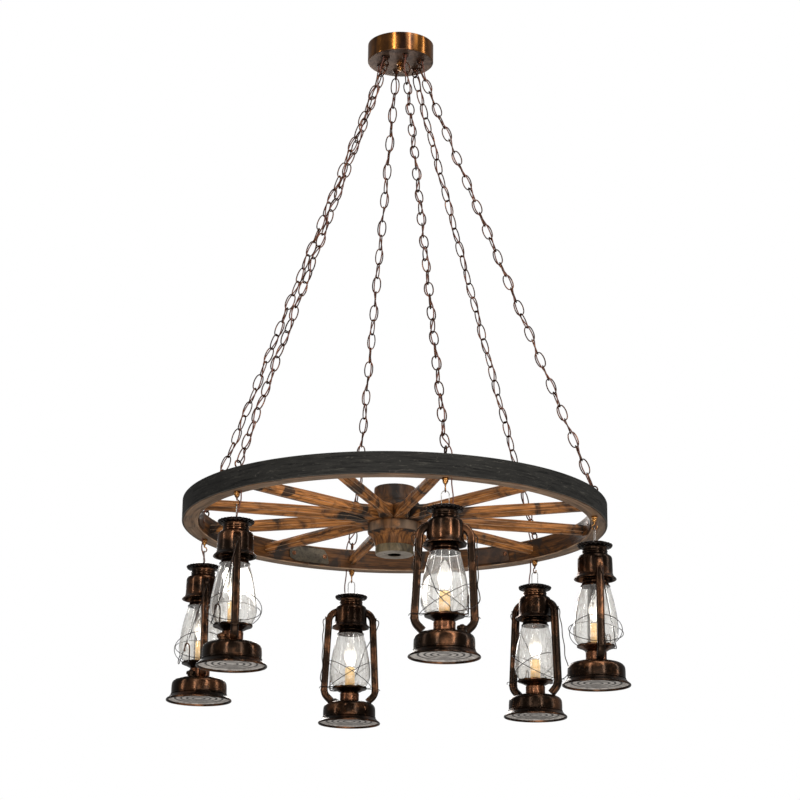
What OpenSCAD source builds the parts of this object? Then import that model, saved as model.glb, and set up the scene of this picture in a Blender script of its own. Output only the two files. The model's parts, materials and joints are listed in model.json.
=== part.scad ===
// Wagon wheel chandelier: a spoked wooden wheel on six chains under a round
// canopy, with a hurricane lantern on a hook below every second spoke.
// Millimetres, +Z up. The origin is the centre of the canopy's top, on the ceiling.

/* [Canopy] */
// Outer diameter of the canopy drum
canopy_d = 175; // [150:1:220]
// Height of the canopy drum
canopy_h = 50; // [40:1:70]
// Sheet thickness of the canopy
canopy_t = 1.2; // [0.8:0.1:2]
// Radius of the circle that the chain loops sit on
loop_circle_r = 52; // [44:1:60]
// Spacing of the two ceiling box screws
box_screw_spacing = 88.9; // [84:0.1:96]
// Diameter of the ceiling box screw holes
box_screw_hole = 4.8; // [4.2:0.1:5.5]

/* [Chain] */
// Number of links in each chain
link_count = 33; // [25:2:41]
// Outside length of a link
link_len = 44.7; // [40:0.1:52]
// Outside width of a link
link_w = 24.5; // [22:0.1:28]
// Diameter of the link wire
link_wire = 3; // [2.5:0.1:3.5]
// Largest twist of a link out of its square position, in degrees
link_twist = 16; // [0:1:20]
// Diameter of the lamp cord
cord_d = 3.2; // [2.5:0.1:3.6]

/* [Wheel] */
// Diameter over the tyre
wheel_d = 1067; // [900:1:1250]
// Height of the wooden rim
rim_h = 54; // [46:1:64]
// Radial thickness of the wooden rim
rim_t = 37; // [32:1:46]
// Thickness of the iron tyre
tyre_t = 3; // [2:0.5:5]
// Height of the iron tyre
tyre_h = 52; // [42:1:60]
// Thickness of a spoke at its middle
spoke_d = 28; // [22:1:34]
// Radius of the hub barrel that the spokes stand on
hub_core_r = 56; // [50:1:62]
// Radius of the hub flanges
hub_flange_r = 68; // [64:1:76]
// Length of the hub
hub_len = 173; // [150:1:200]
// Thickness of the felloe joint plates
plate_t = 3; // [2:0.5:5]

/* [Lantern] */
// Height of a lantern from its foot to the rim of its cap
lantern_h = 347; // [347:1:360]
// Diameter of the foot
foot_d = 166; // [160:1:172]
// Diameter of the tank
tank_d = 140; // [136:1:146]
// Width of the side tubes
tube_w = 19; // [16:0.5:21]
// Gap between the globe and each side tube at the tubes' lower bend
tube_gap = 4; // [3:0.5:8]
// Largest diameter of the glass globe
globe_d = 110; // [104:1:111]
// Thickness of the glass
glass_t = 2.2; // [1.6:0.1:3]
// Height of the bulb
bulb_h = 90; // [84:1:92]
// Largest diameter of the bulb
bulb_d = 35; // [32:0.5:38]
// Diameter of the cap
cap_d = 89; // [84:1:96]
// Diameter of the hood
hood_d = 86; // [82:1:90]
// Height of the free space between the rim and a lantern's cap
hang_gap = 73; // [66:1:84]
// Diameter of the bail wire
bail_wire = 2.6; // [2:0.1:3]
// Travel of the globe on its lift
lift_travel = 12; // [8:1:12]

/* [Hidden] */
CHAINS = 6;
SPOKES = 12;
SEAT = 0.3;              // clearance between pieces that rest on each other
RUN = 0.1;               // radial clearance of a running pin

SHARED = ["canopy", "ceiling_bar", "canopy_loops", "canopy_finial", "chain_1", "chain_2", "chain_3",
    "chain_4", "chain_5", "chain_6", "lamp_cords", "drop_cords", "tyre", "felloes", "spokes", "hub",
    "joint_plates", "rim_hooks"];
LANTERN_1 = ["lantern_1_frame", "lantern_1_hood", "lantern_1_burner", "lantern_1_bulb",
    "lantern_1_globe", "lantern_1_carrier", "lantern_1_bail"];
LANTERN_2 = ["lantern_2_frame", "lantern_2_hood", "lantern_2_burner", "lantern_2_bulb",
    "lantern_2_globe", "lantern_2_carrier", "lantern_2_bail"];
LANTERN_3 = ["lantern_3_frame", "lantern_3_hood", "lantern_3_burner", "lantern_3_bulb",
    "lantern_3_globe", "lantern_3_carrier", "lantern_3_bail"];
LANTERN_4 = ["lantern_4_frame", "lantern_4_hood", "lantern_4_burner", "lantern_4_bulb",
    "lantern_4_globe", "lantern_4_carrier", "lantern_4_bail"];
LANTERN_5 = ["lantern_5_frame", "lantern_5_hood", "lantern_5_burner", "lantern_5_bulb",
    "lantern_5_globe", "lantern_5_carrier", "lantern_5_bail"];
LANTERN_6 = ["lantern_6_frame", "lantern_6_hood", "lantern_6_burner", "lantern_6_bulb",
    "lantern_6_globe", "lantern_6_carrier", "lantern_6_bail"];

// Colours
COPPER = "#8a5230";
BRONZE = "#3d2a20";
CORD = "#6d3526";
IRON = "#34332f";
WOOD = "#7a5232";
STEEL = "#9a9a96";

// Canopy loops: a collar under the canopy and a wire ring below it
loop_collar_h = 10;
loop_collar_r = 5;
loop_ring_r = 7.5;       // to the middle of the wire
loop_wire = 3;
loop_z = -(canopy_h + loop_collar_h + loop_ring_r - loop_wire / 2 + 2);
bar_w = 22;
bar_t = 2.5;
bar_len = box_screw_spacing + 26;
nipple_r = 4.8;
cord_hole_r = cord_d / 2 + 1.2;
cord_hole_at = loop_circle_r + loop_collar_r + cord_hole_r + 2;

// Rim eyes and hooks
eye_wire = 4;
eye_r = 9;               // to the middle of the wire
eye_base_h = 2;
eye_sink = 0.5;          // depth of the ring's weld in its base
bolt_r = 3;
ferrule_r = 8;
ferrule_h = 15;
hook_wire = 3;
hook_r = 6.5;            // to the middle of the wire
hook_neck = 6;
hanger_wire = 2;
hanger_r = 9;            // half the distance between the hanger's legs

// Chain: crown-to-crown distances follow from the wire and its clearance
link_pitch = link_len - 2 * link_wire - SEAT;
crown_span = link_len - link_wire;
top_grip = loop_wire / 2 + link_wire / 2 + SEAT;
eye_grip = eye_wire / 2 + link_wire / 2 + SEAT;
chain_run = (link_count - 1) * link_pitch + crown_span - top_grip - eye_grip + loop_ring_r + eye_r;

// Wheel
wheel_r = wheel_d / 2;
rim_out = wheel_r - tyre_t - SEAT;
rim_in = rim_out - rim_t;
hook_circle_r = (rim_out + rim_in) / 2;
chain_spread = hook_circle_r - loop_circle_r;
eye_above_rim = eye_base_h + eye_r + eye_wire / 2 - eye_sink;
rim_top = loop_z - sqrt(chain_run * chain_run - chain_spread * chain_spread) - eye_above_rim;
rim_z = rim_top - rim_h;
chain_tilt = asin(chain_spread / chain_run);
spoke_z = rim_z + rim_h / 2;
hub_below = hub_len * 0.56;   // length of the hub below the middle of its spokes
hub_bore_r = 17;
root_half_h = 17;        // half the height of a spoke's root
plate_len = 120;
plate_h = 40;
joint_turn = 15;         // felloe joints, round from the hooks
cord_bore_turn = 1.7;    // cord bore through the rim, round from the eye

// Lanterns hang at the hooks, with their own turn about the vertical
pivot_z = rim_z - ferrule_h - hook_neck - 2 * hook_r;
lantern_z = rim_z - hang_gap - lantern_h;
pivot_local = pivot_z - lantern_z;
LANTERN_TURN = [-10, 22, 12, -8, 29, -35];

// Heights inside a lantern
tank_top = 62;
burner_top = 85;
plate_z = burner_top + SEAT;
plate_rim_z = 99;
globe_z = plate_rim_z - 3;
globe_top = 243;
hood_h = 87;
hood_z = lantern_h - hood_h;
hood_shoulder = lantern_h - 33;
neck_z = lantern_h - 24;
tube_top = lantern_h - 42;
steel_t = 1;
plate_rim_r = 46.5;
tank_r = tank_d / 2;
hood_r = hood_d / 2;
burner_r = 25.5;
sleeve_r = 13;
sleeve_top = 152;
socket_r = 7;
bail_pivot_z = lantern_h - 64;
bail_pin_r = bail_wire / 2;
bail_rest_y = plate_rim_r + bail_pin_r + SEAT;   // the bail rests on the globe plate's rim
bail_drop = bail_pivot_z - plate_rim_z + 2;
bail_lean = atan(bail_rest_y / bail_drop);
bail_arm = sqrt(bail_rest_y * bail_rest_y + bail_drop * bail_drop);
top_bend_r = 28;
low_bend_z = 92;
low_bend_r = 28;
low_bend_angle = 48;
low_stub = 15;
tube_collar_h = 4;       // soldered band where the lower bend joins the tube
bend_x = hood_d / 2 + 16.5;
tube_span = globe_d + tube_w + 2 * tube_gap;
tube_lean = atan((tube_span / 2 - bend_x) / (tube_top - top_bend_r - low_bend_z));
filler_turn = -35;
filler_at = 46;
filler_top = 61;
guard_wire = 1.8;
guard_tilt = 31;
guard_r = globe_d / 2 + 9;
guide_z = plate_rim_z - 0.8;
guide_wire = 2;
$fn = 48;

// ---------------------------------------------------------------- helpers

// A ring of round wire in the XZ plane, from one angle through a sweep
module wire_arc(r, wire, from = 0, sweep = 360) {
    rotate([90, 0, 0])
        rotate([0, 0, from])
            rotate_extrude(angle = sweep)
                translate([r, 0])
                    circle(d = wire, $fn = 24);
}

module wire_bar(a, b, wire) {
    v = b - a;
    length = norm(v);
    translate(a)
        rotate([0, acos(v[2] / length), atan2(v[1], v[0])])
            cylinder(h = length, d = wire, $fn = 24);
}

module round_the_wheel(count = CHAINS, turn = 0) {
    for (k = [0 : count - 1])
        rotate([0, 0, -90 + turn + k * 360 / count])
            children();
}

function smooth(t) = t * t * (3 - 2 * t);

// ---------------------------------------------------------------- canopy

module canopy() {
    color(COPPER)
        difference() {
            rotate_extrude($fn = 96)
                polygon([
                    [nipple_r + RUN, -canopy_h], [canopy_d / 2 - 2, -canopy_h], [canopy_d / 2, -canopy_h + 2],
                    [canopy_d / 2, 0], [canopy_d / 2 - canopy_t, 0], [canopy_d / 2 - canopy_t, -canopy_h + 2],
                    [canopy_d / 2 - 2, -canopy_h + canopy_t], [nipple_r + RUN, -canopy_h + canopy_t]]);
            round_the_wheel()
                translate([loop_circle_r, 0, -canopy_h - 1])
                    cylinder(h = canopy_t + 2, r = 3 + RUN);
            round_the_wheel()
                translate([cord_hole_at, 0, -canopy_h - 1])
                    cylinder(h = canopy_t + 2, r = cord_hole_r);
        }
}

module ceiling_bar() {
    color(STEEL)
        difference() {
            union() {
                translate([-bar_len / 2, -bar_w / 2, -bar_t])
                    cube([bar_len, bar_w, bar_t]);
                translate([0, 0, -canopy_h - 8])
                    cylinder(h = canopy_h + 8 - bar_t / 2, r = nipple_r);
            }
            for (side = [-1, 1])
                translate([side * box_screw_spacing / 2, 0, -bar_t - 1])
                    cylinder(h = bar_t + 2, d = box_screw_hole);
        }
}

module canopy_finial() {
    color(COPPER)
        difference() {
            translate([0, 0, -canopy_h - SEAT])
                rotate_extrude()
                    polygon(concat(
                        [[0, -22], [0, 0], [11, 0], [11, -3], [7, -5]],
                        [for (a = [40 : -16 : -72]) [9 * cos(a), -13 + 9 * sin(a)]]));
            translate([0, 0, -canopy_h - 8.5])
                cylinder(h = 12, r = nipple_r + RUN);
        }
}

// Screw-collar loop: threaded stem with a nut inside, collar and ring below
module canopy_loop() {
    translate([loop_circle_r, 0, 0]) {
        translate([0, 0, -canopy_h - loop_collar_h])
            rotate_extrude()
                polygon([
                    [0, 0], [3, 0], [loop_collar_r, 2.5], [loop_collar_r, loop_collar_h - SEAT],
                    [3, loop_collar_h - SEAT], [3, loop_collar_h + 9], [0, loop_collar_h + 9]]);
        translate([0, 0, loop_z])
            wire_arc(loop_ring_r, loop_wire);
        translate([0, 0, -canopy_h + canopy_t + SEAT])
            difference() {
                cylinder(h = 4, r = 7, $fn = 6);
                translate([0, 0, -1])
                    cylinder(h = 6, r = 3 + RUN);
            }
    }
}

module canopy_loops() {
    color(COPPER)
        round_the_wheel()
            canopy_loop();
}

// ---------------------------------------------------------------- chains

// Twist of link i about the chain, from square: none where the chain is held
function twist(i) = link_twist * sin(i * 67) * sin(180 * i / (link_count - 1));

// Turn of link i about the chain
function link_turn(i) = 90 * i + twist(i);

// One oval link on the Z axis, hanging from its top crown at z = 0
module link() {
    arc_r = (link_w - link_wire) / 2;
    straight = crown_span - 2 * arc_r;
    translate([0, 0, -arc_r])
        wire_arc(arc_r, link_wire, 0, 180);
    translate([0, 0, -arc_r - straight])
        wire_arc(arc_r, link_wire, 180, 180);
    for (side = [-1, 1])
        translate([side * arc_r, 0, -arc_r - straight])
            cylinder(h = straight, d = link_wire, $fn = 24);
}

// The chain leaves its loop towards the wheel, so its frame hangs from the loop's middle
module along_chain(k) {
    rotate([0, 0, -90 + k * 360 / CHAINS])
        translate([loop_circle_r, 0, loop_z])
            rotate([0, -chain_tilt, 0])
                children();
}

module chain(k) {
    color(BRONZE)
        along_chain(k)
            for (i = [0 : link_count - 1])
                translate([0, 0, -loop_ring_r + top_grip - i * link_pitch])
                    rotate([0, 0, 90 + link_turn(i)])
                        link();
}

module chain_1() { chain(0); }
module chain_2() { chain(1); }
module chain_3() { chain(2); }
module chain_4() { chain(3); }
module chain_5() { chain(4); }
module chain_6() { chain(5); }

// ---------------------------------------------------------------- cords

// A cord with eight sides swept along its points
module cord(points, d, sides = 8) {
    count = len(points);
    verts = [for (i = [0 : count - 1])
        let (a = points[max(i - 1, 0)],
             b = points[min(i + 1, count - 1)],
             along = (b - a) / norm(b - a),
             side_raw = cross(along, [0.31, 0.95, 0]),
             side = side_raw / norm(side_raw),
             up = cross(side, along))
        for (j = [0 : sides - 1])
            points[i] + d / 2 * (cos(j * 360 / sides) * side + sin(j * 360 / sides) * up)];
    walls = [for (i = [0 : count - 2]) for (j = [0 : sides - 1]) for (half = [0, 1])
        let (a = i * sides + j, b = i * sides + (j + 1) % sides)
        half == 0 ? [a, b, b + sides] : [a, b + sides, a + sides]];
    start_cap = [for (j = [1 : sides - 2]) [0, j + 1, j]];
    last = (count - 1) * sides;
    end_cap = [for (j = [1 : sides - 2]) [last, last + j, last + j + 1]];
    polyhedron(verts, concat(walls, start_cap, end_cap), convexity = 4);
}

// Winding of a lamp cord in and out of the links: a quarter turn for every link
weave_r = link_w / 2 - link_wire - cord_d / 2 - 1.45;
weave_steps = 2;
weave_from = 0.5;
weave_to = link_count - 1;

function weave_z(s) = -loop_ring_r + top_grip - crown_span / 2 - s * link_pitch;
function weave_turn(s) = let (i = floor(s), f = smooth(s - i))
    (1 - f) * (link_turn(i) + 180) + f * (link_turn(i + 1) + 180);
function weave_point(s) = [weave_r * cos(weave_turn(s) + 90), weave_r * sin(weave_turn(s) + 90), weave_z(s)];

// Chain frame to the wheel's radial frame: radius, across, height
function from_chain(p) = [
    loop_circle_r + p[0] * cos(chain_tilt) - p[2] * sin(chain_tilt),
    p[1],
    loop_z + p[0] * sin(chain_tilt) + p[2] * cos(chain_tilt)];

cord_bore_at = [hook_circle_r * cos(cord_bore_turn), hook_circle_r * sin(cord_bore_turn)];

function lamp_cord_route() = concat(
    [[cord_hole_at, 0, -canopy_h + 6], [cord_hole_at, 0, -canopy_h - 4], [cord_hole_at + 1, -1, -canopy_h - 14],
     [cord_hole_at + 4, -4, -canopy_h - 26]],
    [for (s = [weave_from : 1 / weave_steps : weave_to - 0.5]) from_chain(weave_point(s))],
    [[cord_bore_at[0] - 9, cord_bore_at[1] - 3, rim_top + 24], [cord_bore_at[0] - 1, cord_bore_at[1], rim_top + 9],
     [cord_bore_at[0], cord_bore_at[1], rim_top - 2], [cord_bore_at[0], cord_bore_at[1], rim_z - 3]]);

module lamp_cords() {
    color(CORD)
        round_the_wheel()
            cord(lamp_cord_route(), cord_d, 6);
}

// From the rim's bore down into the lantern's cap, slack enough for the swing
drop_hole_x = 17;
module drop_cord(k) {
    turn = LANTERN_TURN[k];
    bore = [cord_bore_at[0] - hook_circle_r, cord_bore_at[1]];
    hole = [-drop_hole_x * sin(turn), drop_hole_x * cos(turn)];
    translate([hook_circle_r, 0, 0])
        cord([
            [bore[0], bore[1], rim_z - 3 - SEAT],
            [bore[0], bore[1], rim_z - 12],
            [bore[0] + 1, bore[1] + 1, rim_z - 24],
            [(bore[0] + hole[0]) / 2 + 1, (bore[1] + hole[1]) / 2 + 2, rim_z - 38],
            [hole[0], hole[1] + 1, rim_z - 50],
            [hole[0], hole[1], rim_z - hang_gap + 6],
            [hole[0], hole[1], rim_z - hang_gap - 14]], cord_d);
}

module drop_cords() {
    color(CORD)
        for (k = [0 : CHAINS - 1])
            rotate([0, 0, -90 + k * 60])
                drop_cord(k);
}

// ---------------------------------------------------------------- wheel

module tyre() {
    color(IRON)
        translate([0, 0, rim_z + (rim_h - tyre_h) / 2])
            difference() {
                cylinder(h = tyre_h, r = wheel_r, $fn = 180);
                translate([0, 0, -1])
                    cylinder(h = tyre_h + 2, r = wheel_r - tyre_t, $fn = 180);
            }
}

// One felloe: a sixth of the rim, bored for its eye bolt, its cord and two spoke tenons
module felloe() {
    half = 30 - 0.04;
    difference() {
        translate([0, 0, rim_z])
            rotate([0, 0, joint_turn - 60 + 0.04])
                rotate_extrude(angle = 2 * half, $fn = 180)
                    polygon([
                        [rim_in + 2, 0], [rim_out, 0], [rim_out, rim_h], [rim_in + 2, rim_h],
                        [rim_in, rim_h - 2], [rim_in, 2]]);
        translate([hook_circle_r, 0, rim_z - 1])
            cylinder(h = rim_h + 2, r = bolt_r + RUN);
        translate([cord_bore_at[0], cord_bore_at[1], rim_z - 1])
            cylinder(h = rim_h + 2, r = cord_hole_r);
        for (turn = [0, -30])
            rotate([0, 0, turn])
                translate([rim_in - 1, 0, spoke_z])
                    rotate([0, 90, 0])
                        cylinder(h = tenon_len + 1 + SEAT, r = tenon_r + SEAT);
    }
}

tenon_r = 8;
tenon_len = 8;

module felloes() {
    color(WOOD)
        round_the_wheel()
            felloe();
}

// Spoke along +X: a square root that packs against its neighbours at the hub,
// a chamfered shaft that swells at its middle, and a round tenon in the rim
spoke_root_len = 62;
spoke_end_r = rim_in - SEAT;

module spoke() {
    half_root = hub_core_r * tan(15) - 0.4;
    wedge_x = hub_core_r + 12;
    wedge_w = wedge_x * tan(15) - 0.4;
    shaft_x = hub_core_r + spoke_root_len;
    mid_x = (shaft_x + spoke_end_r) / 2;
    end_w = spoke_d / 2 - 2;
    plan = [
        [hub_core_r, half_root], [wedge_x, wedge_w], [shaft_x, spoke_d / 2 - 1], [mid_x, spoke_d / 2],
        [spoke_end_r, end_w]];
    side = [
        [hub_core_r, root_half_h], [wedge_x, root_half_h], [shaft_x, spoke_d / 2], [mid_x, spoke_d / 2 + 1],
        [spoke_end_r, end_w + 1]];
    intersection() {
        linear_extrude(height = 40, center = true)
            polygon(concat(plan, [for (i = [len(plan) - 1 : -1 : 0]) [plan[i][0], -plan[i][1]]]));
        rotate([90, 0, 0])
            linear_extrude(height = 60, center = true)
                polygon(concat(side, [for (i = [len(side) - 1 : -1 : 0]) [side[i][0], -side[i][1]]]));
        union() {
            rotate([45, 0, 0])
                translate([wedge_x + 19, -spoke_d * 0.64, -spoke_d * 0.64])
                    cube([wheel_r, spoke_d * 1.28, spoke_d * 1.28]);
            translate([0, -30, -20])
                cube([wedge_x + 20, 60, 40]);
        }
    }
    translate([spoke_end_r - 1, 0, 0])
        rotate([0, 90, 0])
            cylinder(h = tenon_len + 1, r = tenon_r);
}

module spokes() {
    color(WOOD)
        translate([0, 0, spoke_z])
            round_the_wheel(SPOKES)
                spoke();
}

module hub() {
    root_h = root_half_h + SEAT;
    core_r = hub_core_r - SEAT;
    top = hub_len - hub_below;
    color(WOOD)
        translate([0, 0, spoke_z])
            difference() {
                rotate_extrude($fn = 96)
                    polygon([
                        [hub_bore_r, -hub_below], [44, -hub_below], [48, 3 - hub_below], [48, -75], [50, -73],
                        [52, -63], [58, -51], [hub_flange_r, -43], [hub_flange_r, -root_h], [core_r, -root_h],
                        [core_r, root_h], [hub_flange_r, root_h], [hub_flange_r, 27], [58, 39], [53, 51],
                        [53, top - 3], [50, top], [hub_bore_r, top]]);
                for (turn = [25, 205])
                    rotate([0, 0, turn])
                        translate([31, 0, -hub_below - 1])
                            cylinder(h = 6, r = 2.2);
            }
}

// Curved iron plate behind each felloe joint, with two screws
module joint_plate() {
    plate_out = rim_in - SEAT;
    spread = plate_len / rim_in * 180 / PI;
    screw_turn = spread / 2 - 1.6;
    rotate([0, 0, joint_turn]) {
        difference() {
            translate([0, 0, spoke_z - plate_h / 2])
                rotate([0, 0, -spread / 2])
                    rotate_extrude(angle = spread, $fn = 180)
                        translate([plate_out - plate_t, 0])
                            square([plate_t, plate_h]);
            for (side = [-1, 1])
                rotate([0, 0, side * screw_turn])
                    translate([plate_out - plate_t - 1, 0, spoke_z])
                        rotate([0, 90, 0])
                            cylinder(h = plate_t + 2, r = 3.2);
        }
        for (side = [-1, 1])
            rotate([0, 0, side * screw_turn])
                translate([plate_out - plate_t - 2, 0, spoke_z])
                    rotate([0, 90, 0]) {
                        cylinder(h = 2 - SEAT, r = 6);
                        cylinder(h = plate_t + 2, r = 3);
                    }
    }
}

module joint_plates() {
    color(IRON)
        round_the_wheel()
            joint_plate();
}

// Eye bolt through the rim, closed below by a ferrule that ends in an open hook
module rim_hook(k) {
    translate([hook_circle_r, 0, 0]) {
        translate([0, 0, rim_top + SEAT])
            cylinder(h = eye_base_h - SEAT, r = 8);
        translate([0, 0, rim_top + eye_above_rim])
            wire_arc(eye_r, eye_wire);
        translate([0, 0, rim_z - ferrule_h / 2])
            cylinder(h = rim_h + ferrule_h / 2 + 1, r = bolt_r);
        translate([0, 0, rim_z - ferrule_h])
            rotate_extrude()
                polygon([
                    [0, 0], [5, 0], [6, 4], [ferrule_r - 1, 5], [ferrule_r - 1, 9], [ferrule_r, 9.5],
                    [ferrule_r, ferrule_h - SEAT], [0, ferrule_h - SEAT]]);
        rotate([0, 0, LANTERN_TURN[k]]) {
            translate([0, 0, pivot_z + 2 * hook_r])
                cylinder(h = hook_neck + 1, d = hook_wire, $fn = 24);
            translate([0, 0, pivot_z + hook_r])
                wire_arc(hook_r, hook_wire, 90, 300);
        }
    }
}

module rim_hooks() {
    color(COPPER)
        for (k = [0 : CHAINS - 1])
            rotate([0, 0, -90 + k * 60])
                rim_hook(k);
}

// ---------------------------------------------------------------- lantern
// Each is drawn standing at the origin with its side tubes along X and its front at -Y

module hang(k) {
    rotate([0, 0, -90 + k * 60])
        translate([hook_circle_r, 0, lantern_z])
            rotate([0, 0, LANTERN_TURN[k] + 90])
                children();
}

module tank() {
    foot_r = foot_d / 2;
    outer = concat(
        [[foot_r - 1.5, 0], [foot_r, 1.5], [foot_r, 4], [foot_r - 3, 8], [tank_r + 2, 14], [tank_r, 17],
         [tank_r - 1, 44]],
        [for (a = [20 : 20 : 80]) [tank_r - 1 - 26 * (1 - cos(a)) * 1.6, 44 + (tank_top - 48) * sin(a)]],
        [[30, tank_top - 1], [burner_r + 1, tank_top], [10, tank_top]]);
    inner = concat(
        [[10, tank_top - steel_t], [burner_r + 1, tank_top - steel_t], [30, tank_top - 1 - steel_t]],
        [for (a = [80 : -20 : 20]) [tank_r - 1 - steel_t - 26 * (1 - cos(a)) * 1.6,
            44 - steel_t + (tank_top - 48) * sin(a)]],
        [[tank_r - 1 - steel_t, 43], [tank_r - steel_t, 17], [tank_r - steel_t, 9]]);
    plate = concat(
        [for (r = [60 : -15 : 15]) for (step = [0, 1, 2]) [r + (step - 1) * -3, step == 1 ? 7.4 : 9]],
        [[0, 9], [0, 7.8]],
        [for (r = [15 : 15 : 60]) for (step = [0, 1, 2]) [r + (step - 1) * 3, step == 1 ? 6.2 : 7.8]],
        [[tank_r - steel_t, 7.8], [foot_r - 4, 6], [foot_r - 2.5, 2]]);
    rotate_extrude($fn = 96)
        polygon(concat(outer, inner, plate));
}

module tube_section(w = tube_w) {
    h = w / 2;
    c = w * 0.27;
    polygon([[h - c, -h], [h, -h + c], [h, h - c], [h - c, h], [-h + c, h], [-h, h - c], [-h, -h + c], [-h + c, -h]]);
}

// Side tube on +X: out of the hood, round, down, and back into the tank's shoulder
module side_tube() {
    straight = (tube_top - top_bend_r - low_bend_z) / cos(tube_lean);
    end_z = tube_top - top_bend_r;
    difference() {
        union() {
            translate([bend_x - top_bend_r, 0, end_z])
                rotate([90, 0, 0])
                    rotate([0, 0, -tube_lean])
                        rotate_extrude(angle = 90 + tube_lean)
                            translate([top_bend_r, 0])
                                tube_section();
            translate([bend_x - top_bend_r + top_bend_r * cos(tube_lean), 0, end_z - top_bend_r * sin(tube_lean)])
                rotate([0, 180 - tube_lean, 0])
                    linear_extrude(height = straight)
                        tube_section();
            translate(low_bend_start())
                rotate([0, 180 - tube_lean, 0])
                    translate([0, 0, -tube_collar_h / 2])
                        linear_extrude(height = tube_collar_h)
                            tube_section(tube_w + 1);
            translate(low_bend_start())
                rotate([0, -tube_lean, 0])
                    translate([-low_bend_r, 0, 0])
                        rotate([90, 0, 0])
                            rotate([0, 0, -low_bend_angle]) {
                                rotate_extrude(angle = low_bend_angle)
                                    translate([low_bend_r, 0])
                                        tube_section();
                                translate([low_bend_r, 0, 0])
                                    rotate([90, 0, 0])
                                        linear_extrude(height = low_stub)
                                            tube_section();
                            }
        }
        translate([0, 0, hood_z - 20])
            cylinder(h = hood_h + 33, r = hood_r + SEAT);
        translate([0, 0, -1])
            cylinder(h = 46, r = tank_r - 4);
        translate([20, 0, bail_pivot_z])
            rotate([0, 90, 0])
                cylinder(h = bend_x + tube_w, r = bail_pin_r + RUN, $fn = 24);
    }
}

function low_bend_start() =
    let (straight = (tube_top - top_bend_r - low_bend_z) / cos(tube_lean))
    [bend_x - top_bend_r + top_bend_r * cos(tube_lean) + straight * sin(tube_lean), 0,
     tube_top - top_bend_r - top_bend_r * sin(tube_lean) - straight * cos(tube_lean)];

// Fuel cap on its filler neck, on the tank's shoulder
module at_filler() {
    rotate([0, 0, filler_turn])
        translate([filler_at, 0, 0])
            children();
}

module fuel_cap() {
    at_filler()
        translate([0, 0, filler_top + SEAT])
            rotate_extrude($fn = 36)
                polygon([[0, 0], [11.5, 0], [12, 1], [12, 6], [10.5, 8], [6, 8.5], [5, 11], [0, 11.5]]);
}

module frame_solid() {
    color(BRONZE) {
        tank();
        at_filler()
            translate([0, 0, filler_top - 11])
                cylinder(h = 11, r = 9, $fn = 36);
        for (side = [0, 180])
            rotate([0, 0, side])
                side_tube();
        fuel_cap();
    }
}

module hood_solid() {
    r = hood_r;
    t = steel_t;
    color(BRONZE) {
        difference() {
            union() {
                rotate_extrude($fn = 72)
                    polygon([
                        [r - t, hood_z + 13], [r + 3, hood_z + 2], [r + 8, hood_z], [r + 9, hood_z + 1.5],
                        [r + 8, hood_z + 5], [r + 1.5, hood_z + 12], [r, hood_z + 15], [r - 1, hood_shoulder],
                        [r - 4, hood_shoulder + 5], [r - 11, hood_shoulder + 8], [31, neck_z],
                        [31, neck_z + 4], [29.5, neck_z + 6], [31, neck_z + 8], [30, neck_z + 12],
                        [34, neck_z + 18], [cap_d / 2 - 2, lantern_h - 3], [cap_d / 2 - 2, lantern_h],
                        [34, lantern_h + 5], [18, lantern_h + 8], [0, lantern_h + 9], [0, lantern_h + 8],
                        [18, lantern_h + 7], [33, lantern_h + 4], [36, lantern_h], [32, neck_z + 18],
                        [28.5, neck_z + 12], [29.5, neck_z + 8], [28, neck_z + 6], [29.5, neck_z + 4],
                        [29.5, neck_z + 1], [r - 11.5, hood_shoulder + 7], [r - 4.8, hood_shoulder + 4],
                        [r - 1 - t, hood_shoulder]]);
                crimped_rim();
            }
            for (side = [-1, 1])
                translate([side * hanger_r, 0, lantern_h - 4])
                    cylinder(h = 16, d = hanger_wire + 2 * RUN, $fn = 24);
            translate([drop_hole_x, 0, lantern_h - 4])
                cylinder(h = 16, r = cord_hole_r);
            for (side = [0, 180])
                rotate([0, 0, side])
                    translate([bend_x - tube_w / 2 - 0.5, -tube_w / 2 - 0.5, hood_z - 1])
                        cube([20, tube_w + 1, 12]);
        }
    }
    color(STEEL)
        hanger();
}

module crimped_rim() {
    crimps = 24;
    translate([0, 0, lantern_h - 3])
        linear_extrude(height = 3.6)
            difference() {
                polygon([for (a = [0 : 5 : 355])
                    (cap_d / 2 - 0.8 + 0.8 * cos(crimps * a)) * [cos(a), sin(a)]]);
                circle(r = cap_d / 2 - 4, $fn = 72);
            }
}

// Steel wire from the hook into the cap, with its feet bent under the dome
module hanger() {
    crown = pivot_local + hook_wire / 2 + hanger_wire / 2 + SEAT;
    translate([0, 0, crown - hanger_r])
        wire_arc(hanger_r, hanger_wire, 0, 180);
    for (side = [-1, 1])
        translate([side * hanger_r, 0, lantern_h + 5.9])
            cylinder(h = crown - hanger_r - lantern_h - 5.9, d = hanger_wire, $fn = 24);
    translate([-hanger_r - 3, 0, lantern_h + 5.9])
        rotate([0, 90, 0])
            cylinder(h = 2 * hanger_r + 6, d = hanger_wire, $fn = 24);
}

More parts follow.
